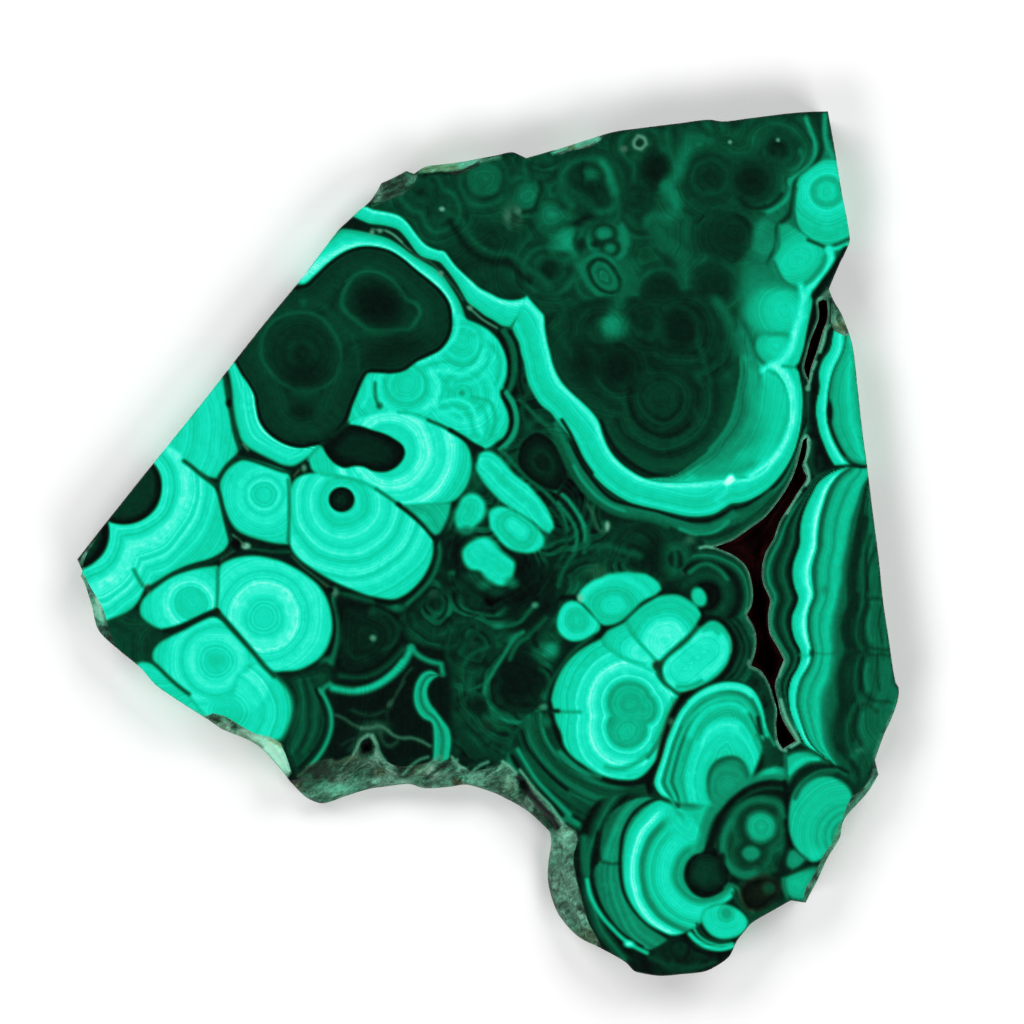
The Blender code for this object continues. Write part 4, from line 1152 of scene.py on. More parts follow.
# Light stone right of the twin-eye cell and the bands that lead to the wave band.
UPPER_LIGHT = """
# M1 along the top of the twin-eye cell
strip fine=3 seed=40 | 330,236 340,229 350,229 362,231 375,234 388,238 400,245 412,254 425,262 435,268
  443,275 450,285 457,296 462,306 466,318 470,330 / 285,292 296,285 305,284 315,276 330,262 345,252 360,247
  375,247 390,251 403,259 416,270 430,281 441,291 449,303 452,316 453,335 | 0:120 .12:178 .3:204 .55:214
  .72:240 .86:250 .95:236 1:190
# lobes right of the twin-eye cell, with wavy lines round a small dot
growth soft=2 fine=7 period=2.8 seed=42 wobble=2.6 mottle=4 grow=1 | 466,320 478,325 488,331 496,339 502,350
  506,362 506,374 503,384 499,392 501,399 505,408 508,418 507,428 503,436 496,441 490,446 483,448 476,445
  465,438 450,430 438,424 428,420 416,416 400,411 380,412 365,415 348,422 354,404 362,385 367,373 392,374
  405,371 416,363 428,358 440,351 448,341 452,330 453,316 460,316 | 0:202 6:210 12:204 17:214 21:200 25:218
  30:228 34:212 38:220 43:206 48:214 53:200 58:212 68:198 | 406,385,0 461,343,0 463,395,0
line 4 240 1.9 alpha=.9 | 418,363 430,358 442,351 451,342 457,331 458,319
line 2.6 186 1.9 alpha=.9 | 424,367 436,363 449,361.5 460,366 470,364 477,357 481,346
line 4.4 240 1.9 alpha=.9 | 432,372 446,371 458,374 469,371 478,363 484,350
line 2.6 194 1.9 alpha=.9 | 446,381 458,381 469,379 479,373 487,363 490,350 488,341
line 3 228 1.9 alpha=.9 | 458,385 470,384 482,378 491,368 495,356
line 5 240 1.9 alpha=.9 | 431,371 437,380 439,391 434,402 425,409
line 2.6 184 1.9 alpha=.9 | 414,367 422,374 426,384 424,394 416,401 405,403 394,399 387,390 384,380
line 3 194 1.9 alpha=.9 | 440,376 447,385 448,396 442,406
line 2 190 1.9 alpha=.9 | 455,397 455,389 461,385 469,388 472,396
line 3.4 240 1.9 alpha=.9 | 442,402 453,399 463,401 471,406 476,416 479,428 485,437
line 2.2 190 1.9 alpha=.9 | 440,408 453,405 463,408 470,416 473,428 477,438
line 3 236 1.9 alpha=.9 | 438,413 452,411 462,415 467,426 468,434
line 2.4 190 1.9 alpha=.9 | 472,399 480,404 486,414 488,427 484,438
line 3.6 178 1.9 alpha=.9 | 473,397 481,399 489,401 494,410 495,424 490,436
line 3 224 1.9 alpha=.9 | 498,398 502,408 503,420 498,432
line 4 190 1.9 alpha=.9 | 493,346 499,358 500,371 496,384
line 2.4 226 1.9 alpha=.9 | 496,340 503,354 504,370 499,386
line 2.4 176 1.9 alpha=.9 | 398,412 415,414 428,419
line 3 236 1.9 alpha=.9 | 368,381 368,394 362,407
spot 2.8 2.8 150 .8 | 462,393
line 3 106 1.9 | 375,383 375,391 376,399 379,406
spot 3 3 92 .8 | 379.5,406
line 3 70 1.9 | 428,420 440,425 452,431
line 4.2 18 1.8 | 450,430 462,437 474,445 482,449
# M2 main wavy band
strip fine=5 seed=44 | 340,222 352,217 360,220 370,224 380,225 390,227 398,230 405,237 411,245 416,252
  422,257 432,260 439,262 445,268 452,277 458,286 463,295 468,303 476,309 485,316 494,321 502,326 508,327
  512,328 515,335 519,343 521,353 524,363 526,375 529,385 534,395 541,405 551,413 558,423 566,432 573,440
  577,441 578,448 582,458 588,468 596,478 606,487 620,497 / 356,203 366,206 372,209 382,211 392,213 400,216
  408,223 414,231 421,240 428,246 438,250 444,251 449,257 455,265 463,273 472,281 480,288 490,293 500,298
  510,300 520,299 527,296 532,302 538,309 544,316 545,328 547,340 550,352 553,364 558,376 565,386 573,394
  582,402 592,412 599,422 603,435 608,447 614,456 622,465 | 0:150 .08:196 .25:206 .5:212 .7:222 .84:248
  .93:240 1:190
line 3.2 92 1.8 | 511,328 517,320 523,313 529,306
line 7 172 5 alpha=.9 | 521,320 529,336 532,350 536,366 540,380 548,395 560,408
# seam between them
line 1.8 118 1.4 grey=.65 | 372,229 380,230 388,231 396,237 404,245 411,251
line 1.6 84 1.4 grey=.5 | 411,251 420,258 430,262 437,268 444,275 451,283 458,292 463,300
line 2 150 1.2 grey=.5 | 386,231 394,235 402,242
line 2.4 128 1.4 grey=.6 | 468,307 474,312 482,319 490,324 497,328
spot 2.4 2.2 150 .8 grey=.6 | 380,231
spot 2.4 2.2 150 .8 grey=.6 | 372,232
spot 2.4 2.2 150 .8 grey=.6 | 470,308
spot 2.4 2.2 150 .8 grey=.6 | 441,273
# strip between the lobes and the wavy band
line 4.6 92 2.2 | 503,331 510,340 514,352 515,366 513,380 510,390
line 2.4 6 2.2 | 499,334 505,345 509,358 509.5,372 507,385 503,392
line 2.2 8 2.2 | 509,331 515,341 519,354 520,368 520,382 523,394
line 5 150 2.2 | 507,393 513,404 516,416 516,428 512,438 505,446
line 2.6 6 2.2 | 503,397 509,406 511.5,417 511,428 506,438 498,446
"""

# Dark cell with two eyes, and the dark tongue below it.
TWIN_EYE = """
cell fine=6 seed=30 | 290,287 305,285 315,276 330,262 345,252 360,247 375,247 390,251 403,259 416,270
  430,281 441,291 449,303 452,316 452,328 448,340 440,350 428,356 416,362 405,370 392,373 378,372 368,373
  361,383 357,393 352,405 347,420 338,432 330,440 322,444 312,446 302,448 290,446 277,440 266,431 259,420
  256,407 254,395 248,384 240,372 234,355 262,300 / 375,303 303,350 | 0:6 .025:12 .06:50 .2:46 .3:60 .42:44
  .55:56 .75:46 1:30
cell | 347,425 360,426 372,430 385,434 396,440 403,446 405,453 402,461 395,468 385,472 373,471 364,467
  355,466 345,468 337,465 330,459 324,450 322,444 330,439 338,431 / 365,450 | 0:8 .16:12 .35:34 1:38
line 5 38 3 | 322,444 330,437 340,430 347,424
line 4 92 2.5 closed=1 | 368,271 380,273 392,280 400,290 407,299 416,304 420,311 417,320 409,329 395,330
  380,331 368,329 357,321 347,313 342,303 344,292 350,281 358,274
spot 26 20 18 .7 turn=.5 | 379,304
line 3.4 88 2.5 closed=1 | 300,313 315,315 327,325 336,338 340,352 339,365 333,379 322,387 308,390 293,388
  280,381 270,371 263,358 262,345 267,330 278,319
shells seed=31 fine=4 wobble=1 soft=3 | 300,316 315,318 326,328 334,340 338,353 337,365 331,377 321,385
  308,388 294,386 282,379 272,369 266,357 265,345 269,331 280,321 | 0:30 7:34 13:52 18:40 24:50 29:38 34:54
  40:48 | 301,353 | 0:0 1:0
spot 20 13 22 .8 alpha=.8 | 304,374
spot 32 12 24 .9 turn=-.3 alpha=.8 | 392,350
line 3 66 3 | 296,300 312,301 326,309 340,322 352,338 358,355 358,372
line 2 58 3 | 300,402 310,398 322,394 333,400 338,408
line 2.4 60 3 | 285,425 300,432 318,430 334,420 343,405
spot 12 9 30 .7 | 302,412
spot 3 3 84 .9 | 303,302
"""

# Dark stone round the small cells in the middle.
CENTRE_DARK = """
# the large dark cell with rings round (662, 400)
cell fine=5 seed=62 soft=6 | 548,318 546,335 550,352 556,370 566,384 580,398 592,410 601,426 608,444 620,460
  636,471 655,479 680,481 705,466 722,446 732,422 737,398 738,372 735,345 728,318 720,300 700,292 640,300
  600,300 / 662,400 | 0:14 .03:20 .1:56 .25:44 .45:28 .6:34 .75:26 1:30
growth soft=6 fine=9 period=4 seed=202 wobble=2.5 mottle=6 | 548,318 546,335 550,352 556,370 566,384 580,398
  592,410 601,426 608,444 620,460 636,471 655,479 680,481 705,466 722,446 732,422 737,398 738,372 735,345
  728,318 720,300 700,292 640,300 600,300 | -12:24 0:30 10:54 15:30 23:60 30:32 39:64 47:34 57:68 66:44
  76:60 | 662,400,6 618,368,8 682,330,10 582,362,6 648,325,4 600,330,2
line 10 58 8 | 553,345 558,365 570,384 585,400 597,415 604,432
cell soft=7 | 560,345 575,340 592,352 598,375 590,388 574,378 / 582,362 | 0:40 1:26
line 4.5 66 3 | 598,380 608,392 622,400 626,412 631,426 641,439 655,447 672,447 690,441 702,430 709,414
  711,395 708,375 702,356 697,340 695,322 688,311 676,305 664,310
line 6 60 5 | 590,398 604,408 612,424 622,440 636,454 652,462 672,464 692,458 706,448
line 3.4 62 2.6 | 636,395 641,408 650,418 662,424 675,421 683,410 685,395 679,383 670,377
line 5 22 4 | 631,390 629,402 633,416 643,429 658,436 676,434 688,424
line 3 62 2.6 | 625,396 627,410 634,424 646,434 662,440 680,437 694,426 700,412
spot 16 11 54 .6 | 661,391
spot 17 17 24 .6 | 618,368
spot 15 20 28 .6 | 680,328
line 3 58 3 | 640,312 650,305 658,310 660,320 655,328
line 3 50 3 | 636,330 640,318 648,313
spot 8 8 40 .8 | 645,320
line 3 52 3 | 705,303 712,318 716,335 719,352 722,372 722,392 718,412 708,432
line 7 70 6 | 714,300 722,312 728,328 733,345 736,362 734,385 733,402 727,420 717,437 703,452 686,462
  660,468 640,466
line 3.4 92 3 | 718,302 727,314 732,330 738,342 742,352
line 4 66 4 | 655,470 640,464 624,452 612,438 604,422
line 3.6 14 2.2 | 601,421 608,437 618,452 632,464 646,472 658,476 672,478
line 12 86 6 | 628,264 630,282 621,298 615,312
spot 15 13 100 .5 | 614,327
spot 9 9 134 .6 | 612,325
line 9 62 6 | 566,306 560,322 562,340 570,352
# light part on its right
strip fine=7 seed=64 soft=3 wobble=2.4 | 744,262 742,285 741,302 736,322 734,340 737,360 737,380 734,402
  728,420 718,438 705,452 688,465 668,475 648,479 / 806,250 804,288 799,310 794,330 788,350 778,362 772,369
  783,375 790,387 793,403 792,420 787,437 779,453 769,466 756,476 745,482 720,483 690,483.5 668,482 648,479
  | 0:62 .03:112 .07:132 .13:104 .3:146 .45:160 .6:176 .75:202 .86:204 .93:172 1:236
line 3 130 2.5 | 736,402 731,420 722,436 710,449
line 3 126 2.5 | 740,322 746,338 752,352 757,366 760,382 758,398
line 4 156 3 | 737,335 741,350 748,364 755,378 756,395 753,412
line 3 140 2.4 | 747,322 750,332 757,336 770,334 784,330 793,320
line 3 110 2.4 | 754,338 759,350 765,360 767,366
line 4 130 3 | 752,366 748,357 750,349
spot 12 8 214 .6 | 773,344
line 2.6 128 2 | 757,395 758,382 762,374 768,370 778,374 785,384
spot 14 18 208 .6 alpha=.7 | 778,310
spot 14 26 204 .6 alpha=.6 | 770,400
line 3 176 3 | 768,470 782,452 789,432 790,412 789,395
line 9 130 6 alpha=.6 | 705,463 722,458 738,447 750,436
spot 12 6 184 .6 turn=-.4 | 748,455
line 8 140 5 alpha=.7 | 700,474 720,473 738,470 752,464
# left edge of that light part higher up
cell fine=6 seed=65 soft=6 | 764,212 771,222 771,240 765,254 756,268 748,284 745,300 740,318 748,330 762,322
  776,300 784,270 790,250 782,236 778,222 772,212 / 764,282 | 0:70 .3:138 .7:150 1:168
spot 7 14 148 .6 | 764,235
spot 6 5 150 .8 | 766,265
"""

# Light wave band round the dark field.
WAVE_BAND = """
# long light band: under the dark cell and up its right side
strip fine=5 seed=66 | 512,328 515,335 519,343 521,353 524,363 526,375 529,385 534,395 541,405 551,413
  558,423 566,432 573,440 577,446 582,458 588,468 596,478 605,487 616,495 628,502 640,506 655,509.5 670,513
  686,516.5 700,517 715,514 725,508 732,504 742,503 753,499 766,491 777,480 786,468 793,455 798,441 801,427
  803,410 803,392 801,378 798,367 802,356 805,345 808,328 812,312 813,298 812,285 / 527,296 532,302 538,309
  544,316 545,328 547,340 550,352 553,364 558,376 565,386 573,394 582,402 592,412 599,422 603,435 608,447
  614,456 622,464 630,470 638,475 648,479 660,481.5 680,482 700,481 722,479 740,478 750,477 762,471 771,461
  779,450 786,436 789,420 789,402 785,386 779,376 773,368 781,358 787,348 789,334 796,320 799,305 799,290
  797,276 | 0:150 .08:206 .2:216 .32:198 .5:206 .7:214 .85:240 .94:238 1:190
line 7 247 4 | 802,284 803,300 801,316 796,330 793,342 789,352 782,360 774,366
line 7 247 4 | 774,367 783,371 789,380 793,392 794,406 793,420 789,432 784,443 777,453 769,462 759,470
  750,476
line 3 226 2.5 | 640,500 655,504 670,507 686,511 700,512 714,510 724,504
line 4 236 3.4 alpha=.8 | 728,482 727,489 722,496 716,500
cell soft=2.4 | 725,479 729,474 733,474 736,479 732,484 727,487 723,484 / 730,480 | 0:246 .4:262 1:262
line 2.4 150 2 | 783,366 792,367 799,367
spot 2.6 3.4 18 .7 | 799,367
line 2 40 2 | 555,345 548,330 546,318
"""

# Bands along the right rim and beside the slit.
RIGHT_BANDS = """
# the two light bands above the crack, and the dark strip between them and the slit
cell soft=2 fine=3 seed=69 | 812,286 813,300 810,316 807,332 804,348 800,362 800,376 803,392 803,412 801,430
  797,444 803,440 808,452 806,466 812,480 818,474 824,466 836,468 832,452 824,440 818,424 815,408 818,388
  819,370 824,354 830,338 834,322 830,296 836,280 842,262 828,262 / 808,360 808,420 | 0:10 .4:16 1:20
line 5 50 3 | 808,391 808,404 807,418 808,431
line 2 72 2 grey=.3 | 808,394 808,404 807,416
line 6 60 4 | 812,442 811,455 811,466 816,474
line 4 40 3 | 820,458 820,466 817,472
strip fine=6 seed=70 soft=2.4 wobble=.8 | 833,330 829,348 822,359 818,372 819,388 816,400 815,413 817,425
  820,436 824,446 828,456 834,466 / 839,330 839,345 836,355 831,365 828,376 826,390 825,400 824,410 825,420
  827,431 830,441 835,451 840,460 846,466 / 846,330 844,347 840,357 835,366 831,376 829,390 828,402 830,412
  830,424 833,434 837,444 842,453 848,461 854,466 / 851,330 855,350 858,370 861,392 863,410 866,430 868,450
  870,466 | 0:60 .12:196 .35:208 .65:214 .85:230 1:238 1.3:236 1.6:218 1.85:150 2:90 2.1:150 2.22:176
  2.38:164 2.52:192 2.66:204 2.78:180 2.88:160 3:120
spot 3 11 16 .5 | 829.5,412
line 3.4 30 2 | 829,422 833,434 838,445 844,455 851,462 858,466
line 3.6 22 2.2 | 821,469 832,468.5 846,466.5 858,466 868,467
line 3 120 2.5 alpha=.7 | 846,458 856,462 866,463
# bands beside the hollow, from its lip to the right rim
strip fine=7 seed=72 soft=2.4 wobble=1 | 846,467 836,469 826,472 818,476 812,481 809,488 801,498 792,509
  784,523 777,540 770,553 765,567 766,583 772,597 770,611 769,625 773,637 779,647 786,659 783,670 778,683
  780,698 783,712 790,727 799,740 806,747 815,752 824,757 831,764 838,772 / 846,467 836,471 827,476 818,483
  812,493 806,505 801,517 799,530 799,543 796,553 793,563 792,576 794,588 798,598 796,606 792,616 791,628
  794,640 800,651 800,661 797,669 792,678 789,690 789,703 791,715 796,727 802,740 808,747 816,752 824,757
  831,763 838,771 / 850,468 841,474 834,483 828,494 824,506 821,518 819,532 818,545 815,557 813,570 814,583
  815,596 810,609 808,622 809,637 812,650 811,661 806,670 800,680 797,692 796,703 798,715 802,728 808,741
  815,749 824,756 832,763 839,771 / 872,468 869,475 862,486 857,500 852,515 849,530 846,548 842,565 841,580
  838,592 836,605 833,618 831,635 832,650 831,663 828,678 823,690 821,700 820,715 821,730 824,744 829,755
  835,764 842,773 / 872,468 874,490 877,520 880,545 884,575 888,605 892,635 896,660 900,685 900,700 894,720
  886,737 878,756 872,768 862,783 852,796 | 0:110 .12:122 .25:64 .36:30 .5:58 .68:98 .8:44 .9:12 .98:22
  1.03:120 1.1:202 1.3:208 1.45:220 1.56:243 1.82:247 1.92:214 1.98:104 2.08:88 2.17:158 2.3:174 2.42:186
  2.52:150 2.62:178 2.8:198 2.92:188 3:140 3.08:92 3.18:96 3.28:52 3.42:34 3.53:86 3.61:56 3.7:110 3.8:88
  3.88:110 3.95:66 4:58
line 6 224 3 alpha=.8 | 803,665 797,678 794,690 793,703 795,715 799,728
line 3 88 2 | 849,469 842,474 835,483 829,494 825,506 822,518 820,532 819,546
line 3 170 2.4 alpha=.6 | 800,655 806,656 811,654
spot 2.4 4 60 .7 | 812,653
spot 3.4 5 140 .8 | 825,590
# breaks across the dark bands, where their bulges meet
line 10 34 2.8 alpha=.85 | 864,520 857,545 853,566 852,585 854,600
line 3.4 88 2.8 alpha=.85 | 872,532 864,550 860,570 859,590
line 3 40 2.8 alpha=.85 | 878,545 871,560 867,580 866,600
line 3.4 84 2.8 alpha=.85 | 880,560 874,578 872,596
line 10 32 2.8 alpha=.85 | 853,606 847,618 846,634 850,648
line 3 84 2.8 alpha=.85 | 862,606 857,620 856,636 860,648
line 3 30 2.8 alpha=.85 | 867,604 863,620 862,636 866,650
line 4 94 2.8 alpha=.85 | 876,602 870,618 868,634 872,650
line 3.4 78 2.8 alpha=.85 | 884,606 878,622 877,640 880,652
line 9 34 2.8 alpha=.85 | 848,655 843,668 841,684 843,700
line 3.4 90 2.8 alpha=.85 | 860,656 856,670 856,690 860,702
line 2.6 34 2.8 alpha=.85 | 864,656 861,672 862,690
line 4 96 2.8 alpha=.85 | 872,654 868,670 869,688
line 3 50 2.8 alpha=.85 | 878,656 876,672 876,690
line 4 104 2.8 alpha=.85 | 886,660 883,674 885,692
line 9 34 2.8 alpha=.85 | 843,706 837,720 836,736 840,750
line 3.4 92 2.8 alpha=.85 | 854,706 848,722 847,738 851,752
line 2.6 34 2.8 alpha=.85 | 859,708 854,724 854,740
line 4 88 2.8 alpha=.85 | 867,706 862,722 861,738 864,748
line 4 84 2.8 alpha=.85 | 880,704 874,720 872,736
line 3 66 2.8 alpha=.85 | 838,706 834,722 836,740
line 4 124 2.8 alpha=.85 | 896,690 896,698 893,708
# bulges of the dark bands with their outlines
spot 8 17 96 .5 alpha=.8 | 876,626
spot 9 17 92 .5 alpha=.8 | 874,678
spot 9 17 90 .5 alpha=.8 | 868,725
spot 5 14 92 .6 alpha=.7 | 878,582
line 2.2 20 2.6 alpha=.55 | 866,604 863,616 863,632 867,645 876,649 890,650
line 2.4 22 2.6 alpha=.55 | 868,600 876,598 884,600
line 2.2 22 2.6 alpha=.55 | 862,656 860,670 861,686 866,696 876,701 890,702
line 2.2 26 2.6 alpha=.55 | 864,652 872,655 882,654 891,657
line 2.4 20 2.6 alpha=.55 | 858,706 856,720 856,734 861,744
line 2 30 2.6 alpha=.55 | 862,704 870,706 878,712
line 2.2 18 2.6 alpha=.55 | 871,536 867,552 866,570 868,590
line 2 60 2 | 884,560 880,575 880,592
line 2 122 1.8 | 870,612 868,626 871,640
line 2 60 1.8 | 880,610 879,624 882,640
line 2 120 1.8 | 867,664 865,676 868,690
line 2 58 1.8 | 878,662 877,676 880,690
line 2 116 1.8 | 863,714 861,726 865,738
line 1.8 70 2 alpha=.35 | 813,653 826,654 842,652 860,650
spot 6 3 130 .7 grey=.2 | 862,751
spot 4 4 104 .8 | 853,757
spot 8 8 72 .8 | 866,757
line 6 34 5 | 850,762 857,770 859,781 852,791 845,798
line 4 84 4 | 846,762 851,774 849,786
line 5 70 4 | 838,757 843,767 842,778
line 6 60 5 | 866,765 867,780 860,790
"""

# Light cells below the upper right corner.
UPPER_RIGHT = """
# light stone between the dark field and the corner, filling every gap
growth soft=13 fine=9 period=3 seed=133 mottle=10 | 824,112 828,118 835,150 841,190 850,239 842,256 834,270
  826,284 814,296 812,290 800,300 784,314 766,330 748,326 740,300 742,270 752,246 764,214 786,200 792,184
  806,170 816,152 822,134 | -26:150 0:138 4:160 8:126 12:140 16:108 21:112 28:88 36:66 44:54 | 826,192,26
  800,262,20 772,310,10 760,240,6
# arcs on its edge
line 4 158 2.6 | 806,118 810,130 815,142 815,155 810,165 802,172 793,178 790,183
line 3 110 2.6 | 800,150 803,158 799,166 792,170
line 4 156 2.6 | 790,180 791,190 787,198 780,205 772,210 765,213
line 3 104 2.6 | 784,186 783,194 776,200 768,204
line 5 44 2.6 | 818,116 822,135 821,152 812,168 801,177 795,185 793,200 789,215 782,222 777,230 777,242
  773,254 768,264
line 5 150 2.6 | 825,115 825,135 828,148 833,157
line 4 120 2.6 | 780,226 778,240 775,254 770,264
spot 7 14 122 .8 | 766,236
line 3 28 2.8 | 740,200 749,207 762,208 773,203 782,194
line 3.4 62 3 | 724,212 738,211 750,213 764,214
# round cell at the rim
shells seed=130 fine=6 period=2.4 | 800,178 808,171 818,164 828,160 838,161 844,190 852,240 842,243 828,246
  822,246 812,240 803,234 797,226 795,212 796,200 797,188 | 0:206 9:204 12:166 15:170 18:224 21:218 24:200
  28:206 31:190 36:204 42:184 48:192 54:176 | 827,192
line 2.6 84 2.2 | 796,188 794,200 794,212 797,226 804,236 812,242
# cell below it, with a bright band on its right
shells seed=131 fine=2.5 period=3 stretch=1.4,.9 turn=-.7 | 780,226 787,224 795,229 805,236 812,242 822,248
  825,255 822,263 815,272 808,280 800,285 790,283 780,278 774,268 775,258 780,248 781,238 | 0:207 13:205
  18:196 24:180 34:160 | 799,259
line 3 60 2 | 808,240 818,244 827,247 838,244 849,239
line 8 238 2.6 | 829,249 831,260 826,272 817,282 809,289 804,298
line 3.4 146 2.4 | 825,256 820,268 811,279 801,287
line 4 228 2.4 | 828,250 838,248 848,244
line 7 12 2.4 | 846,250 840,260 831,273 822,285 815,296
line 3 104 2.4 | 774,262 780,276 790,286 800,290
# lobes of the light stone down to the wave band
shells seed=134 soft=9 fine=2.5 | 744,270 752,262 764,262 772,270 776,282 772,294 762,302 750,304 742,296
  741,282 | 0:128 12:122 20:112 | 760,286 | 0:-10 4:0
shells seed=135 soft=7 fine=2.5 | 768,287 780,288 792,291 799,300 799,312 795,324 786,331 770,333 755,330
  746,321 744,308 751,295 760,289 | 0:207 12:206 20:196 30:176 40:150 52:126 | 785,311 | 0:-14 4:0
shells seed=136 soft=3.4 fine=2.5 | 760,337 770,334 782,335 790,339 788,348 782,357 773,363 764,361 757,354
  755,345 | 0:210 8:206 13:190 20:170 | 776,346 | 0:-30 3:0
line 3 96 3 | 756,333 753,344 757,356 765,365
line 2.6 150 2.8 | 756,332 768,334 780,334 790,335
line 6 244 3.6 | 801,286 802,300 799,316 795,330 792,342 787,352 779,361 768,366 763,371
# where its edge meets the dark field
line 9 94 6 | 717,302 724,312 731,325 736,339 738,352
line 3 88 3 | 741,320 748,332 753,344
"""

# Dark stone and fine bands round the hollow.
HOLLOW_SURROUND = """
# strip between the wave band and the hollow, and on below the band to the left
strip fine=10 seed=75 soft=3 wobble=1.4 | 803,372 804,392 804,412 802,430 798,444 793,457 786,470 777,482
  765,492 752,500 740,504 732,505 726,509 716,515 704,519 690,519 676,516 660,511 642,507 625,502 610,494
  598,483 588,470 580,456 570,440 / 808,436 803,446 798,462 793,476 786,489 776,502 766,514 755,523 742,531
  732,537 720,542 710,548 700,541 688,536 672,529 655,522 640,519 622,517 605,510 591,498 579,484 569,468
  560,448 | 0:60 .06:8 .15:12 .26:92 .45:108 .58:84 .76:50 .88:66 1:40
line 6 112 3.6 | 556,424 562,436 567,449 573,461 579,472 585,482 593,493 604,502 618,509 634,513 650,516
  668,521 684,527 698,530 712,528 724,521 733,513
line 4 84 3 | 548,424 555,438 561,452 567,465 574,478 583,490
line 3 10 2 | 562,420 570,433 576,446 583,460 592,473
line 2.6 158 2.2 | 574,466 580,477 588,487 598,497 610,505 624,511
line 3 92 3 | 586,492 598,504 614,513 634,518 652,521 668,527
line 3 156 2.4 | 680,529 693,533.5 706,534 718,530 728,522
line 5 92 4 | 736,522 748,514 760,504 770,493
line 4 84 4 | 740,511 749,509 757,504
line 4 40 3 | 700,538 714,537 727,533 738,526
line 3 84 3 | 706,543 720,541 734,535 748,526 762,514
# teal field left of the hollow
growth soft=6 fine=12 period=2.6 seed=76 mottle=12 | 690,538 700,545 708,552 704,565 696,580 684,590 672,585
  664,575 660,560 665,545 680,536 | 0:30 6:56 12:74 18:44 24:66 32:54 44:60 | 706,596,8 676,560,3
line 3 88 3 | 674,546 676,560 674,574
line 3 78 3 | 684,548 686,560 684,572
spot 3.4 2.6 120 .9 grey=.6 | 693,577
spot 3 3 96 .9 grey=.6 | 686,572
spot 5 4 96 .9 grey=.3 | 690,540
# rings round the small cell and round the capsule
shells seed=77 fine=9 | 690,562 698,551 710,547 724,552 734,558 743,567 749,577 752,589 752,602 747,613
  740,618 726,617 712,615 704,613 702,604 700,590 690,580 684,570 | 8:14 12:10 16:46 20:72 24:54 28:38 31:20
  34:28 38:66 41:114 43:66 45:50 50:50 | 706,596 | 0:0 1:0
line 4 116 3 | 690,572 698,566 707,564 715,567 722,572 727,579
growth soft=2.4 fine=9 period=2.6 seed=78 wobble=1.4 mottle=6 joined=1 | 700,622 704,614 716,616 730,619
  746,615 751,626 755,637 756,650 753,661 749,667 758,671 766,680 771,692 777,706 777,742 768,742 764,722
  758,700 748,686 736,680 722,681 728,670 733,658 735,646 732,634 725,624 716,618 706,618 | 20:90 24:60 27:8
  30:10 33:58 36:34 39:58 42:40 45:66 48:96 52:50 60:24 70:50 80:24 90:46 | 683,670,0 707,650,0
line 3 130 2.4 grey=.3 | 728,636 732,644 731,652
line 3 54 3 | 752,671 760,679 766,691 770,706 772,724 775,740
line 4 60 3 | 764,726 770,738 776,748
# thin pale lip of the hollow and of the slit
"""

# Bright parts of the pale lips of the hollow and of the slit.
HOLLOW_LIPS = """
line 3 196 1.8 grey=.6 | 803,441 806,436 809,440 808,452 805,462 808,471 809,480 806,485
line 3 186 1.8 grey=.6 | 800,492 793,502 787,513
line 3 186 1.8 grey=.6 | 784,660 782,667 779,676
line 3 180 1.8 grey=.6 | 700,548 706,546.5 712,547.5
line 3 130 1.8 grey=.6 | 748,664 749,661
line 3 130 1.8 grey=.6 | 750,667 757,670 763,676
line 3 190 1.8 grey=.6 | 781,700 785,714 790,725 797,737 799,742 791,747
line 3 180 1.8 grey=.6 | 777,742 781,749 786,751
line 3 186 1.8 grey=.6 | 818,303 819,299 824,296 830,290
line 3 196 1.8 grey=.6 | 826,327 824,340 820,352
line 3 180 1.8 grey=.6 | 816,362 812,372 809,384 808,389
line 3 140 2 grey=.2 warm=.2 | 830,325 826,330
spot 2.6 3 158 .7 grey=.5 | 808,388
line 4 112 2.4 grey=.7 | 829,290 824,295 830,297 832,291
"""

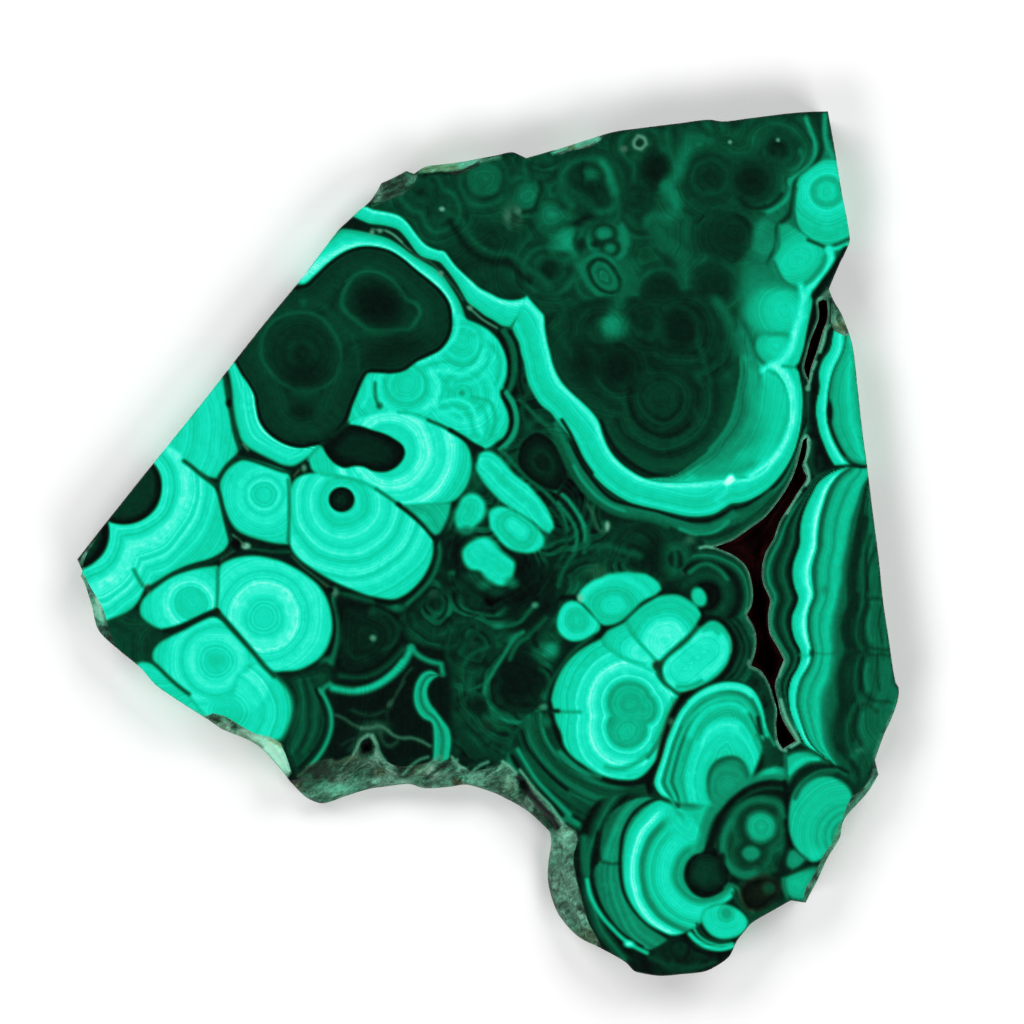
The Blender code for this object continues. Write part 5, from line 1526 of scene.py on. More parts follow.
# Large round lobe with the small cells above it.
BIG_LOBE = """
line 6 12 3 | 604,634 594,642 584,649 575,657 566,668 558,680 552,694 551,705 554,720 558,733 565,747
  574,758 586,768 600,777 618,783 636,783 648,776
growth soft=2.4 fine=7 period=2.4 seed=92 wobble=1.2 mottle=3 grow=1 | 603,639 593,644 583,650 573,658
  566,667 560,678 555,690 553,700 555,712 557,722 562,733 565,745 573,756 584,764 596,772 610,777 625,779
  636,778 646,771 654,758 659,745 665,730 671,715 676,703 679,695 671,689 664,684 658,676 655,667 645,663
  636,659 620,652 612,645 605,640 | -20:178 -12:170 -6:178 -2:166 0:148 2:172 4:214 7:236 10:226 13:232
  16:240 19:247 22:242 25:218 28:212 31:232 33:236 36:212 39:218 43:206 47:212 50:202 54:206 | 630,703,20
  643,709,13 627,729,17
growth soft=2.4 fine=5 seed=97 mottle=2 | 610,717 622,720 634,718 646,722 646,735 640,742 632,745 622,744
  613,740 608,732 608,724 | -6:190 0:186 6:178 10:166 14:150 | 628,730,6
line 4 198 3 | 554,700 557,686 562,674 570,663 581,653 593,646
line 3 206 3 alpha=.6 | 560,752 572,763 586,772 600,777
line 4.4 166 3 | 646,755 638,762 628,767 616,769 606,767
line 4.6 128 2.2 | 676,700 671,710 666,722 661,735 655,747 648,757
line 3 186 2 | 673,698 668,708 663,719 658,731 653,742
line 4.4 208 2 | 670,728 665,740 659,752 650,764 640,772 628,776
line 2.8 150 2 | 553,711.5 560,711.5 568,712 580,712
line 4 30 2 | 551,711 558,711
# upper part of the lobe: a capsule and a lobule, each with a pale core
shells seed=93 stretch=1.08,1 turn=-.7 | 604,638 612,630 622,625 627,619 634,611 642,604 652,599 665,596
  678,596 688,601 697,608 702,616 700,625 694,633 686,640 676,648 668,656 660,661 654,664 646,652 636,640
  626,630 614,634 | 0:238 9:240 16:238 20:230 24:212 28:204 32:212 36:196 40:204 44:188 60:184 | 665,640
shells seed=98 stretch=1.2,.9 turn=.5 | 603,639 608,632 615,627 625,623 630,634 640,645 650,655 657,664
  652,670 640,665 626,659 612,651 604,643 | 0:236 8:237 14:228 20:210 24:214 28:202 33:194 38:184 | 640,654
line 2.4 168 2.2 | 627,621 632,632 640,643 649,653 657,662
line 2.4 186 2.4 | 604,640 612,649 622,656 632,661 645,665
# seam between the lobe and the capsules to its right
line 5 72 2.4 | 702,619 696,629 688,638 679,646 670,654 663,661 657,666
line 4.6 78 2.4 | 656,666 659,675 665,683 673,689 680,695
spot 4 4 48 .8 grey=.2 | 657,665
line 4 12 2 | 700,607 703,614 702,622
line 6 8 2.6 warm=.2 | 690,691 683,697 677,706 672,716 668,728 664,740 661,752 658,764 653,774 649,786
  653,796 662,800
spot 3 4 96 .8 grey=.5 | 671.5,722
# capsule right of the lobe
line 4.4 10 2.4 | 700,624 707,618 716,618 725,624 732,634 735,646 733,658 727,670 718,681 706,689 694,694
  684,697
growth soft=2.2 fine=3 period=2.2 seed=94 wobble=1.4 mottle=5 grow=1 joined=1 | 663,670 666,662 673,655
  682,648 690,641 696,634 703,627 710,622 716,622 723,627 729,637 730,650 727,662 720,672 710,680 700,685
  690,689 680,691 672,686 666,680 | 0:226 6:228 11:220 14:232 18:238 20:228 23:200 27:184 30:160 | 683,670,0
  707,650,0
line 4 158 3 | 678,687 690,686 702,681
line 4 184 3 | 704,630 712,628 719,634
line 3.4 238 2.6 | 722,636 726,646 723,658 715,670 704,678
# capsules above it
line 5 12 2.6 | 562,598 572,597 580,602 590,612 598,622 602,628 612,625 622,620 632,611 640,604 650,598
  660,591
shells seed=95 stretch=1.12,.82 | 580,598 581,592 587,586 594,581 602,578 608,575 616,574 625,573 635,574
  645,575 652,579 658,584 660,589 655,594 646,598 640,602 634,608 628,614 622,619 614,623 604,624 598,620
  592,612 586,605 | 0:214 8:213 12:200 15:188 18:194 22:206 27:212 34:222 38:212 48:214 | 613,605
line 4 236 3 | 582,600 586,592 594,586 602,582
shells seed=96 stretch=1,1.05 | 558,625 560,613 565,605 572,602 579,604 586,611 593,618 599,625 598,630
  590,635 582,639 573,640 565,637 560,632 | 0:202 6:200 9:194 12:210 15:224 18:226 21:208 | 577,621
spot 3 3.4 206 .8 grey=.5 | 580,598
spot 7.4 10 196 .3 turn=-.4 | 699,597
spot 3 4 208 .8 | 698,595
"""

# Banded lobe at the bottom and the dark stone round it.
LOWER_LOBE = """
# teal bands left of the lobe and the dark stone below it
growth soft=3 fine=9 period=3 seed=220 wobble=1.5 mottle=7 | 600,800 640,795 660,800 700,930 745,930 740,945
  715,968 660,978 630,972 600,950 592,930 583,900 578,870 580,830 | -86:40 0:14 6:40 20:30 26:8 32:96 36:60
  42:20 60:10 100:20 | 706,873,86
growth soft=4 fine=9 period=3 seed=221 mottle=8 | 620,972 640,945 660,938 690,942 720,952 745,940 740,950
  732,960 705,975 660,978 | -4:40 6:30 14:44 20:34 26:18 60:10 | 680,950,4
growth soft=2 fine=10 period=2.2 seed=222 wobble=1.4 grow=2 | 604,862 602,850 603,838 606,826 611,816
  620,808 632,802 645,799 654,800 644,808 635,819 628,832 624,845 622,860 | -8:130 -3:168 1:150 4:130 7:152
  10:132 13:148 16:120 19:100 | 706,873,88
growth soft=2 fine=10 period=2.2 seed=223 wobble=1.4 grow=1 | 595,869 604,861 622,862 623,873 625,888
  631,902 639,914 649,925 659,934 666,940 656,946 648,949 638,944 628,938 618,930 609,919 602,907 597,893
  594,880 | 0:128 3:148 6:118 10:140 13:108 16:132 19:96 22:116 28:84 | 706,873,86
line 2.4 70 2 | 603,862 612,864 622,863
line 3.4 14 2 | 657,799 647,803 637,810 629,820 623,834 621,848 620,862 621,878 624,892 630,904 639,916
  650,926 661,933 668,936
line 3.2 14 2 | 598,833 595,850 592,866 592,880 596,894 602,908 611,922 621,933 632,941 642,947
line 7 100 3.4 | 584,838 584,856 586,872
line 4 196 2 | 587,880 590,894 596,907 604,919 613,929 621,937 629,943 637,948 647,953
spot 5 3.4 246 .7 | 629,944
line 4 62 3 | 650,957 662,963 680,967 700,967 715,962
# banded lobe
shells drift=-.05,-.05 seed=107 fine=7 period=2.4 wobble=1 | 660,801 650,805 639,814 631,827 626,842 624,857
  624,873 626,888 631,901 639,913 649,923 661,930 672,934 684,932 692,928 700,922 704,912 712,905 724,902
  733,894 730,880 722,864 714,850 704,850 702,838 696,826 688,816 678,808 669,803 | 20:60 22:150 26:168
  29:136 32:170 35:212 42:220 47:212 51:192 54:206 57:194 60.5:128 63:140 65.5:206 68:236 70:247 71.6:249
  73.4:228 78:205 82:190 85:150 | 706,874 | 0:-60 2:0
shells seed=108 fine=5 | 702,918 704,912 710,908 722,905 733,908 742,914 748,922 744,930 735,936 722,938
  712,934 705,926 | 0:150 5:168 10:206 16:214 22:204 | 726,914
line 2.4 60 1.8 | 697,924 701,932 708,938 718,941 730,941
line 3 176 1.8 | 694,928 698,935 706,941 718,945 732,944
line 5 214 2 | 690,934 697,941 708,947 722,949 733,946
line 3 10 2 | 684,936 690,945 702,952 718,954 730,952
"""

# Arched lobe and the column below it.
ARCH_LOBE = """
strip fine=6 seed=98 soft=3 | 666,802 660,796 655,789 653,782 656,771 660,760 663,750 666,740 670,730
  675,718 680,709 687,701 696,693 706,687 716,683 728,681 740,682 750,686 757,693 762,703 765,714 767,725
  770,734 / 694,812 690,800 688,788 688,774 691,760 695,748 700,737 708,728 718,722 730,720 741,724 748,733
  753,744 757,756 758,768 / 716,806 710,798 708,788 708,777 711,768 717,761 725,757.5 735,757 742,761
  746,768 748,776 749,784 | 0:80 .05:210 .14:232 .21:226 .26:128 .33:118 .39:196 .46:190 .5:116 .57:118
  .63:184 .74:190 .8:156 .88:176 .95:214 1:226 1.12:214 1.25:232 1.35:208 1.5:216 1.7:202 1.85:200 1.94:196
  2:140
line 4.4 238 3 | 690,702 700,694 712,688 726,685 740,687 750,692
line 4 172 3 | 684,724 690,712 700,702 714,696 730,695 744,700 752,710 757,722
line 6 224 4 | 690,735 697,720 708,709 722,704 736,704 746,711
line 4 176 3 | 697,738 706,722 718,714 732,712 744,718 752,730
line 3.4 242 2.6 | 702,744 707,734 716,727 727,724 737,727
line 2.6 228 2 | 708,740 716,733 726,731 736,735
line 3.4 110 2.4 | 752,700 758,712 761,724 762,734
line 4 34 2.2 | 758,718 759,726 761,733
line 3 120 2.4 | 757,735 762,742 764,752
line 3 168 2.2 | 765,730 770,738 774,745
line 8 64 5 | 768,745 770,755 768,764
# column below the arch and its dark core
cell fine=6 seed=99 soft=8 alpha=.9 | 666,800 680,804 694,806 706,800 714,800 712,808 707,820 703,832
  701,844 692,846 680,840 668,828 662,814 / 690,822 | 0:204 .3:210 .6:214 1:216
line 4 50 2.4 | 652,795 661,798 671,802 678,806
line 3 170 3 | 672,800 676,810 683,818
growth fine=5 seed=100 soft=5 mottle=3 | 716,812 711,803 708,793 708,783 710,773 715,765 723,760 733,758
  741,761 746,768 748,777 746,786 738,792 729,799 722,808 | -8:158 0:152 6:142 12:148 17:138 22:146 30:142 |
  728,786,8
line 3 150 2.6 | 720,792 724,783 732,778 740,779
line 4 106 4 | 744,768 748,777 748,787
"""

# Round cells at the lower right rim.
ROUND_CELLS = """
# green band and black arc over the dark cells
line 8 138 4 | 786,778 771,776 757,779 746,783 735,789 725,797 716,808 709,820 704,834 700,848
line 4.6 12 2.6 | 786,784 771,783 757,785 746,790 736,798 727,807 719,820 714,834 709,846 704,854
line 3 62 2.4 | 784,789 770,788 758,790 748,795 738,802 730,811 724,822 719,836 715,848
line 3.4 16 2.4 | 784,794 770,793 759,795 749,799 740,806 732,815 726,826 722,838 721,850
line 6 12 2.6 | 786,782 787,800 786,815 787,830 790,842 797,851 807,858 819,862
# dark stone with a round cell and a half cell
growth soft=3 fine=8 period=2.6 seed=103 wobble=1 mottle=5 | 718,852 717,838 722,824 731,810 742,801 756,795
  772,795 781,799 784,812 783,828 785,842 783,858 776,870 764,877 748,880 734,877 725,868 | -16:168 -13:180
  -9:160 -5:178 -2:160 0:108 3:66 6:54 10:62 14:84 17:60 21:48 26:30 | 761,827,14.5 751,853,6
spot 8.5 5.5 140 .5 | 751,853
line 6 104 3.4 | 733,817 741,807 753,801 767,800 779,804 783,816
line 8 118 3.4 | 731,822 725,834 723,846 725,858 730,867 738,873 747,875 755,871
line 3 64 3.4 | 733,836 731,850 735,861 743,868 752,868
line 6 88 3.4 | 779,819 782,832 778,842 771,848
line 5 78 3.4 | 757,869 766,872 775,869
# cells right of it
shells seed=104 fine=5 period=2.6 | 792,800 796,791 803,784 812,779 822,777 833,778 842,781 848,787 851,795
  850,803 847,811 844,820 841,832 835,842 828,851 820,859 813,861 805,857 798,850 793,840 790,828 790,812 |
  0:110 8:120 12:176 15:140 19:194 23:150 27:192 31:168 35:190 42:184 50:192 62:186 | 848,836 | 0:-50 3:0
spot 7 5 206 .8 | 815,853
line 4 88 2.6 | 795,798 801,787 810,779 822,774 836,773 846,777
line 3.6 26 2.4 | 789,791 795,779 803,771 813,766 824,765 836,767 847,772
line 2.4 112 2 | 793,796 799,785 808,777 820,771 834,770 846,775
line 6 40 4 | 838,775 848,782 855,790
cell fine=7 seed=102 soft=3 | 785,756 792,752 802,750 812,751 821,756 829,764 818,763 808,765 799,770
  793,777 788,784 786,776 / 796,764 | 0:96 .3:176 1:196
line 3 214 2.6 | 789,773 795,765 805,759 818,759
line 2.6 110 2.4 | 785,754 785,766 786,778
cell soft=4 | 764,750 772,751 782,753 784,762 776,765 766,766 / 773,758 | 0:60 1:44
cell fine=5 seed=101 soft=3 | 750,784 754,777 761,770 770,766 780,766 786,769 787,778 780,777 770,776
  762,779 / 770,771 | 0:110 .4:186 1:200
line 7 60 4 | 766,742 769,752 768,764
# dark eye
growth soft=2 fine=6 period=3 seed=109 mottle=5 wobble=1 | 704,853 708,850 712,846 717,850 720,858 724,864
  728,870 729,880 724,890 714,896 703,898 693,893 687,884 685,873 688,862 695,855 | -17:54 -8:52 -2:46 0:38
  2:12 6:10 12:20 | 707,873,17
line 6 22 3.4 | 722,856 722,868 728,879 738,885
line 4 112 2.6 | 726,888 731,885 738,889 741,897 746,905 753,912
line 3 70 2.6 | 733,893 737,901 744,910 752,917
line 3 60 3 | 741,884 750,882 760,880 770,876
# brown spot and the small cells at the rim
cell soft=3 fine=6 seed=110 warm=.5 | 740,893 742,886 748,881 757,878 768,877 777,880 781,887 777,896
  769,904 758,911 748,910 742,902 / 760,893 | 0:40 .2:20 1:30
spot 6.5 6 70 .6 | 769,888
cell soft=2.6 fine=5 seed=111 | 781,878 790,874 800,870 812,866 822,866 816,878 809,890 806,903 792,900
  787,896 782,888 / 798,884 | 0:80 .25:172 1:188
line 4 110 2.6 | 784,880 785,890 788,899
cell soft=3 | 786,857 789,850 795,848 801,854 808,859 800,867 792,871 786,866 / 795,860 | 0:70 .3:140 1:156
cell soft=3 | 748,914 760,912 772,906 782,900 790,898 776,908 760,918 748,926 / 768,910 | 0:60 1:90
"""

# Regions in the order of painting, before and after the lips of the hollows.
FIRST_REGIONS = (
    UPPER_DARK, MIDDLE, LOWER_LEFT, LOWER_MIDDLE, LEFT_PART, UPPER_LIGHT, TWIN_EYE, CENTRE_DARK,
    WAVE_BAND, RIGHT_BANDS, UPPER_RIGHT, HOLLOW_SURROUND,
)
LAST_REGIONS = (
    HOLLOW_LIPS, BIG_LOBE, LOWER_LOBE, ARCH_LOBE, ROUND_CELLS,
)


# Pale line round the mouths of the hollows.
MOUTH_WIDTH = 3.8
MOUTH_TONE = 146
MOUTH_SOFTNESS = 1.8
MOUTH_GREY = 0.6


def paint(c):
    """Paint the whole pattern of the stone."""
    x, y = c.points.T
    c.tone += noise_layers(x, y, STONE_MOTTLE)
    for region in FIRST_REGIONS:
        c.draw(region)
    for mouth in (MAIN_HOLLOW, SLIT):
        c.line(mouth, MOUTH_WIDTH, MOUTH_TONE, MOUTH_SOFTNESS, closed=True, grey=MOUTH_GREY)
    for region in LAST_REGIONS:
        c.draw(region)
    c.draw(SKIN_LINES)


# Natural skin: share of the stone's own tone that shows through, and the skin's tone and greyness.
STONE_SHARE = 0.25
SKIN_TONE = 96.0
SKIN_CONTRAST = 30.0
SKIN_SPECKLE = 12.0
SKIN_GREY = 0.5
LEAST_WARMTH = 0.14
GREY_MOTTLE = ((0.3, 12, 44),)
WARM_MOTTLE = ((0.3, 10, 45),)
SKIN_STREAKS = ((24.0, 3.2, 46),)
# Directions along and across the streaks, shortened along them.
STREAK_AXES = ((0.25, 0.17), (-0.57, 0.82))
# Greyness grows with the tone, up to its full value.
GREY_GAIN = 1.3
FULL_GREY_TONE = 100.0
LEAST_GREY = 0.25
PATCH_SOFTNESS = 0.6
PATCH_STRENGTH = 0.85

# Patches of the natural skin and of the broken edge: u,v,half width,half height,tone,grey,warm. The dark
# patches at 367,746, 523,786 and 551,822 lie in the rind's pits and are painted shade.
RIND_PATCHES = """
212,720,12,4,70,.2,.3 226,727,9,5,186,.9,0 240,734,9,4,210,.8,0 234,727,3,3,8,0,0 247,732,8,5,186,.9,.1
254,740,7,6,214,.8,0 280,772,9,6,110,.3,.5 288,758,5,14,150,.6,0 295,786,6,8,92,.3,.6 306,797,6,4,150,.4,0
321,801,9,4,100,.3,0 314,774,17,12,46,.1,.1 318,768,7,5,90,.2,.6 332,790,15,6,160,.5,0 352,770,18,6,92,.3,.1
362,784,13,5,132,.5,0 380,774,6,5,90,.4,.5 392,772,7,10,172,.7,0 405,782,7,3,210,.8,0 356,750,5,5,108,.3,.5
367,746,8,10,3,0,0 378,752,4,8,204,.8,0 415,769,15,9,76,.3,.4 431,772,6,6,196,.9,0 412,780,6,3,140,.6,0
440,784,15,5,130,.4,0 459,784,5,3,56,.3,.7 475,777,11,8,146,.4,0 463,767,7,3,196,.6,0 490,782,11,8,116,.5,0
510,780,6,5,140,.5,0 515,793,6,7,96,.3,.1 523,786,4,10,5,0,0 531,801,8,6,150,.6,0 551,822,8,10,22,.2,0
535,818,14,6,60,.3,.1 563,850,13,30,164,.55,0 568,900,16,34,136,.6,0 590,938,14,10,96,.3,.35
832,311,6,9,132,.35,0 842,326,8,6,130,.3,.5 827,293,6,5,112,.8,0 99,604,5,12,222,.7,0 894,696,4,7,116,.1,0
396,186,24,12,58,.1,0 446,169,28,7,156,.05,.3 470,163,6,4,190,.5,0 318,769,12,5,34,.1,.1 403,771,8,4,34,.1,0
448,768,8,3,46,.1,0 335,789,15,5,176,.35,0 383,780,10,4,150,.6,0 341,762,8,4,50,.2,.1 480,779,12,6,150,.5,0
508,784,3,8,186,.5,.15 499,776,4,3,60,.2,.1 352,748,3,8,176,.7,0 433,777,5,5,180,.9,0 456,782,4,3,70,.4,.6
"""

# Pale mint facet at the lower left.
PALE_FACET = """
cell soft=2 fine=5 seed=47 grey=.85 | 254,737 262,735 272,738 282,743 287,752 291,772 285,775 273,762 262,750
  / 276,755 | 0:236 .3:254 1:259
"""

# Thin pale and grey edges of the skin, and a black line from 519,777 to 557,828 that is painted shade in a
# crack between two of the rind's pits.
SKIN_LINES = """
line 3.6 156 2 grey=.7 | 352,758 357,748 361,740 368,735
line 5 160 2 grey=.7 | 372,736 376,744 378,752 383,760 389,768
line 4 110 2 grey=.6 warm=.4 | 346,762 351,759 356,758
line 3 128 2 grey=.5 | 403,775 410,767 419,760 428,757
line 3 152 2 grey=.6 | 412,779 422,770 432,762 441,757
line 4 26 2 grey=.1 | 398,766 405,762 412,758
line 3 44 2 grey=.2 | 425,780 436,771 446,762
line 3.4 146 2 grey=.6 | 440,779 449,768 457,760
line 3 40 2 grey=.2 | 444,766 452,758
line 2.6 96 2 grey=.5 warm=.3 | 334,765 342,760 350,757
line 3 88 2 grey=.5 warm=.3 | 298,776 308,768 320,763 332,760
line 3 36 2 grey=.1 warm=.1 | 306,772 316,765 326,761
line 3 152 2 grey=.6 | 470,774 479,766 488,762
line 3 50 2 grey=.2 | 462,772 470,766 476,765
line 2.6 66 2 grey=.4 | 486,774 494,766 500,763
line 2.6 140 2 grey=.6 | 488,768 496,772 503,779
line 2.6 172 2 grey=.7 | 452,757 458,765 466,769
line 3 190 2 grey=.7 | 503,762 510,767 517,775
line 6 6 2 | 519,777 526,789 537,803 548,815 557,828
line 3 176 2 grey=.6 | 520,770 530,783 540,795 550,805 557,815 563,823
line 5 138 2 grey=.4 | 893,716 886,733 880,746 876,758
line 5 134 2 grey=.4 | 877,772 871,784 864,794 858,801 846,816
line 5 140 2 grey=.4 warm=.1 | 842,826 836,842 828,858 820,872
line 4 130 2 grey=.4 | 816,882 811,892 805,903
line 3 190 2 grey=.6 warm=.5 | 270,740 276,743 281,746
line 2 140 2 grey=.7 warm=.2 | 205,717 225,729 248,739 262,748
line 2.2 112 2 grey=.6 | 376,196 388,190 400,186 410,182 416,178
line 2.2 92 2 grey=.5 | 372,206 385,200 395,195 404,193
line 2 104 2 grey=.7 | 384,186 394,182 404,177
line 7 162 2 grey=.1 warm=.35 | 420,169 430,168 441,167 452,168 462,167
line 6 184 2 grey=.45 | 460,165 468,164 476,162
line 3 120 2 grey=.5 | 478,162 488,160 500,157
line 2.4 12 2 | 424,175 440,173 455,173 466,169 478,164
line 3 190 2 grey=.3 | 553,153 560,150 567,148
line 4 140 2 warm=.5 | 568,147 575,146 580,145
line 6 186 2 grey=.4 | 578,145 588,142 597,139
line 5 134 2 grey=1 | 379,191 378,189 381,188
"""


def paint_rind(c):
    """Colours of the natural skin and of the broken walls."""
    x, y = c.points.T
    mottle = noise_layers(x, y, SKIN_MOTTLE)
    along, across = (u * x + v * y for u, v in STREAK_AXES)
    c.tone = STONE_SHARE * c.tone + SKIN_TONE + SKIN_CONTRAST * mottle
    c.grey = np.clip(SKIN_GREY + noise_layers(x, y, GREY_MOTTLE), 0, 1)
    c.warm = np.clip(noise_layers(x, y, WARM_MOTTLE) - LEAST_WARMTH, 0, 1)
    # Some of these patches are painted shade: the dark ones that lie in the rind's pits.
    for u, v, half_u, half_v, tone, grey, warm in numbers(RIND_PATCHES):
        c.spot(f"{u},{v}", half_u, half_v, tone, PATCH_SOFTNESS, PATCH_STRENGTH, grey=grey, warm=warm)
    c.tone += SKIN_SPECKLE * mottle + noise_layers(along, across, SKIN_STREAKS)
    c.grey = np.clip(GREY_GAIN * c.grey, 0, 1) * np.clip(c.tone / FULL_GREY_TONE, LEAST_GREY, 1.0)
    c.draw(PALE_FACET)
    c.draw(SKIN_LINES)


# Layout of the surface map: planar top, small planar underside and strips for walls.
TOP_MAP_SCALE = 6.42
TOP_MAP_MIDDLE = (0.388, 0.603)
BACK_MAP_SCALE = 1.78
BACK_MAP_MIDDLE = (0.888, 0.882)
WALL_STRIPS = 4
WALL_STRIP_HEIGHT = 0.040
WALL_STRIP_WIDTH = 0.98
WALL_STRIP_ORIGIN = (0.01, 0.006)
HOLLOW_STRIP_HEIGHT = 0.03
HOLLOW_STRIP_WIDTH = 0.2
HOLLOW_STRIP_ORIGIN = (0.785, 0.30)
HOLLOW_STRIP_STEP = 0.05
STRIP_GAP = 0.006

# Noise of the crust on the hollows' walls: size, shift from ring to ring and seed.
WALL_CRUST_SIZE = 0.0008
WALL_CRUST_SHIFT = 0.02
WALL_CRUST_SEED = 6
# Clear space between the underside's grid and its edge, as a share of the grid's step.
BACK_CLEARANCE = 0.35
# The bands drift by some picture units on their way down to the underside.
UNDERSIDE_DRIFT = 9.0
UNDERSIDE_DRIFT_SIZE = 60
UNDERSIDE_SEEDS = (31, 32)

# Kinds of surface, in the order of the mesh's materials.
FACE, RIND, WALL, BACK, HOLLOW = range(5)


class Shell:
    """Collects surfaces as points, triangles, corner map positions and kinds."""

    def __init__(self):
        self.points = []
        self.faces = []
        self.corners = []
        self.kinds = []
        self.skins = []
        self.count = 0

    def add(self, points, faces, corners, kind, skin=0.0):
        """Add a surface; skin is the share of natural skin at its points."""
        self.points.append(points)
        self.skins.append(np.zeros(len(points)) + skin)
        self.faces.append(faces + self.count)
        self.corners.append(corners)
        self.kinds.append(np.full(len(faces), kind))
        self.count += len(points)


def top_map(points):
    """Map position of a point seen from above."""
    return points[:, :2] * TOP_MAP_SCALE + TOP_MAP_MIDDLE


def back_map(points):
    """Map position of a point of the underside."""
    return points[:, :2] * (-BACK_MAP_SCALE, BACK_MAP_SCALE) + BACK_MAP_MIDDLE


def ring_faces(count):
    """Two triangles between each pair of neighbours of two rings that run clockwise."""
    i = np.arange(count)
    j = (i + 1) % count
    return np.vstack([np.column_stack([i, j, j + count]), np.column_stack([i, j + count, i + count])])


def add_ring_band(shell, rings, kind, planar, strips=1, origin=WALL_STRIP_ORIGIN, width=WALL_STRIP_WIDTH,
                  height=WALL_STRIP_HEIGHT, skin=0.0):
    """Join rings with triangles, mapped from above or as unrolled strips."""
    count = len(rings[0])
    run = np.concatenate([[0.0], np.cumsum(np.hypot(*(np.roll(rings[0], -1, axis=0) - rings[0])[:, :2].T))])
    run = run / run[-1] * strips
    fall = np.concatenate([[0.0], np.cumsum([np.mean(np.linalg.norm(b - a, axis=1))
                                             for a, b in zip(rings[:-1], rings[1:])])])
    fall = fall / fall[-1]
    for k in range(len(rings) - 1):
        faces = ring_faces(count)
        points = np.vstack([rings[k], rings[k + 1]])
        if planar:
            corners = top_map(points)[faces]
        else:
            step = np.tile(np.arange(count), 2)
            strip = np.minimum(np.floor(0.5 * (run[step] + run[step + 1])), strips - 1)
            at = np.where(faces % count == step[:, None], run[step][:, None], run[step + 1][:, None])
            at = at - strip[:, None]
            level = np.where(faces < count, fall[k], fall[k + 1])
            u = origin[0] + width * at
            v = origin[1] + height * (1.0 - level) + strip[:, None] * (height + STRIP_GAP)
            corners = np.stack([u, v], axis=2)
        shell.add(points, faces, corners, kind, np.tile(skin, 2) if np.ndim(skin) else skin)


def lip_loop(mouth, reach):
    """Outline of a hollow moved outwards."""
    return mouth - inward_normals(mouth) * reach


def add_hollow(shell, mouth, lip, origin):
    """Sink a blind hollow with a worn lip, steep uneven walls and a bowl-shaped floor."""
    wall_bottom = SLAB_THICKNESS - HOLLOW_DEPTH * HOLLOW_WALL_SHARE
    inward = inward_normals(mouth)
    rings = [np.column_stack([lip, np.full(len(mouth), SLAB_THICKNESS)]),
             np.column_stack([mouth, np.full(len(mouth), SLAB_THICKNESS - LIP_DROP)])]
    for share in HOLLOW_LEVELS:
        shifted = mouth[:, 0] + share * WALL_CRUST_SHIFT
        noise = value_noise(shifted, mouth[:, 1], WALL_CRUST_SIZE, WALL_CRUST_SEED)
        rough = HOLLOW_ROUGHNESS * (0.5 + 0.5 * noise)
        height = SLAB_THICKNESS - LIP_DROP + (wall_bottom - SLAB_THICKNESS + LIP_DROP) * share
        rings.append(np.column_stack([mouth + inward * rough[:, None], np.full(len(mouth), height)]))
    rings.append(np.column_stack([mouth, np.full(len(mouth), wall_bottom)]))
    rings = [ring[::-1] for ring in rings]
    add_ring_band(shell, [rings[1], rings[0]], RIND, True)
    add_ring_band(shell, rings[1:], HOLLOW, False, 1, origin, HOLLOW_STRIP_WIDTH, HOLLOW_STRIP_HEIGHT)
    extra = grid_inside(mouth, [], HOLLOW_STEP, EDGE_CLEARANCE * HOLLOW_STEP)
    flat, faces = triangulate([mouth], extra)
    reach = distance_to(flat, mouth)
    bowl = np.sin(0.5 * math.pi * np.clip(reach / HOLLOW_BOWL_REACH, 0.0, 1.0))
    rough = noise_layers(*flat.T, CRUST_GRAIN)
    sink = HOLLOW_DEPTH * (1.0 - HOLLOW_WALL_SHARE) * bowl + HOLLOW_FLOOR_ROUGHNESS * rough * bowl
    sink = np.where(reach < SAME_PLACE, 0.0, sink)
    floor = np.column_stack([flat, wall_bottom - np.minimum(sink, HOLLOW_DEPTH)])
    shell.add(floor, faces, top_map(floor)[faces], HOLLOW)


def build_shell():
    """Every surface of the slab."""
    shell = Shell()
    rings, skin = outer_rings()
    mouths = [smooth_line(to_metres(loop), HOLLOW_STEP) for loop in (MAIN_HOLLOW, SLIT)]
    lips = [lip_loop(mouth, LIP_WIDTH) for mouth in mouths]
    face_loop = rings[0][:, :2]
    flat, faces = triangulate([face_loop] + lips, face_points(face_loop, lips))
    top = np.column_stack([flat, np.full(len(flat), SLAB_THICKNESS)])
    shell.add(top, faces, top_map(top)[faces], FACE)
    rind_count = len(RIND_LEVELS)
    add_ring_band(shell, rings[:rind_count], RIND, True, skin=skin)
    add_ring_band(shell, rings[rind_count - 1:], WALL, False, WALL_STRIPS, skin=skin)
    for k, (mouth, lip) in enumerate(zip(mouths, lips)):
        origin = (HOLLOW_STRIP_ORIGIN[0], HOLLOW_STRIP_ORIGIN[1] + HOLLOW_STRIP_STEP * k)
        add_hollow(shell, mouth, lip, origin)
    foot = rings[-1][:, :2]
    flat, faces = triangulate([foot], grid_inside(foot, [], BACK_GRID_STEP, BACK_CLEARANCE * BACK_GRID_STEP))
    under = np.column_stack([flat, np.zeros(len(flat))])
    shell.add(under, faces[:, ::-1], back_map(under)[faces[:, ::-1]], BACK)
    return shell


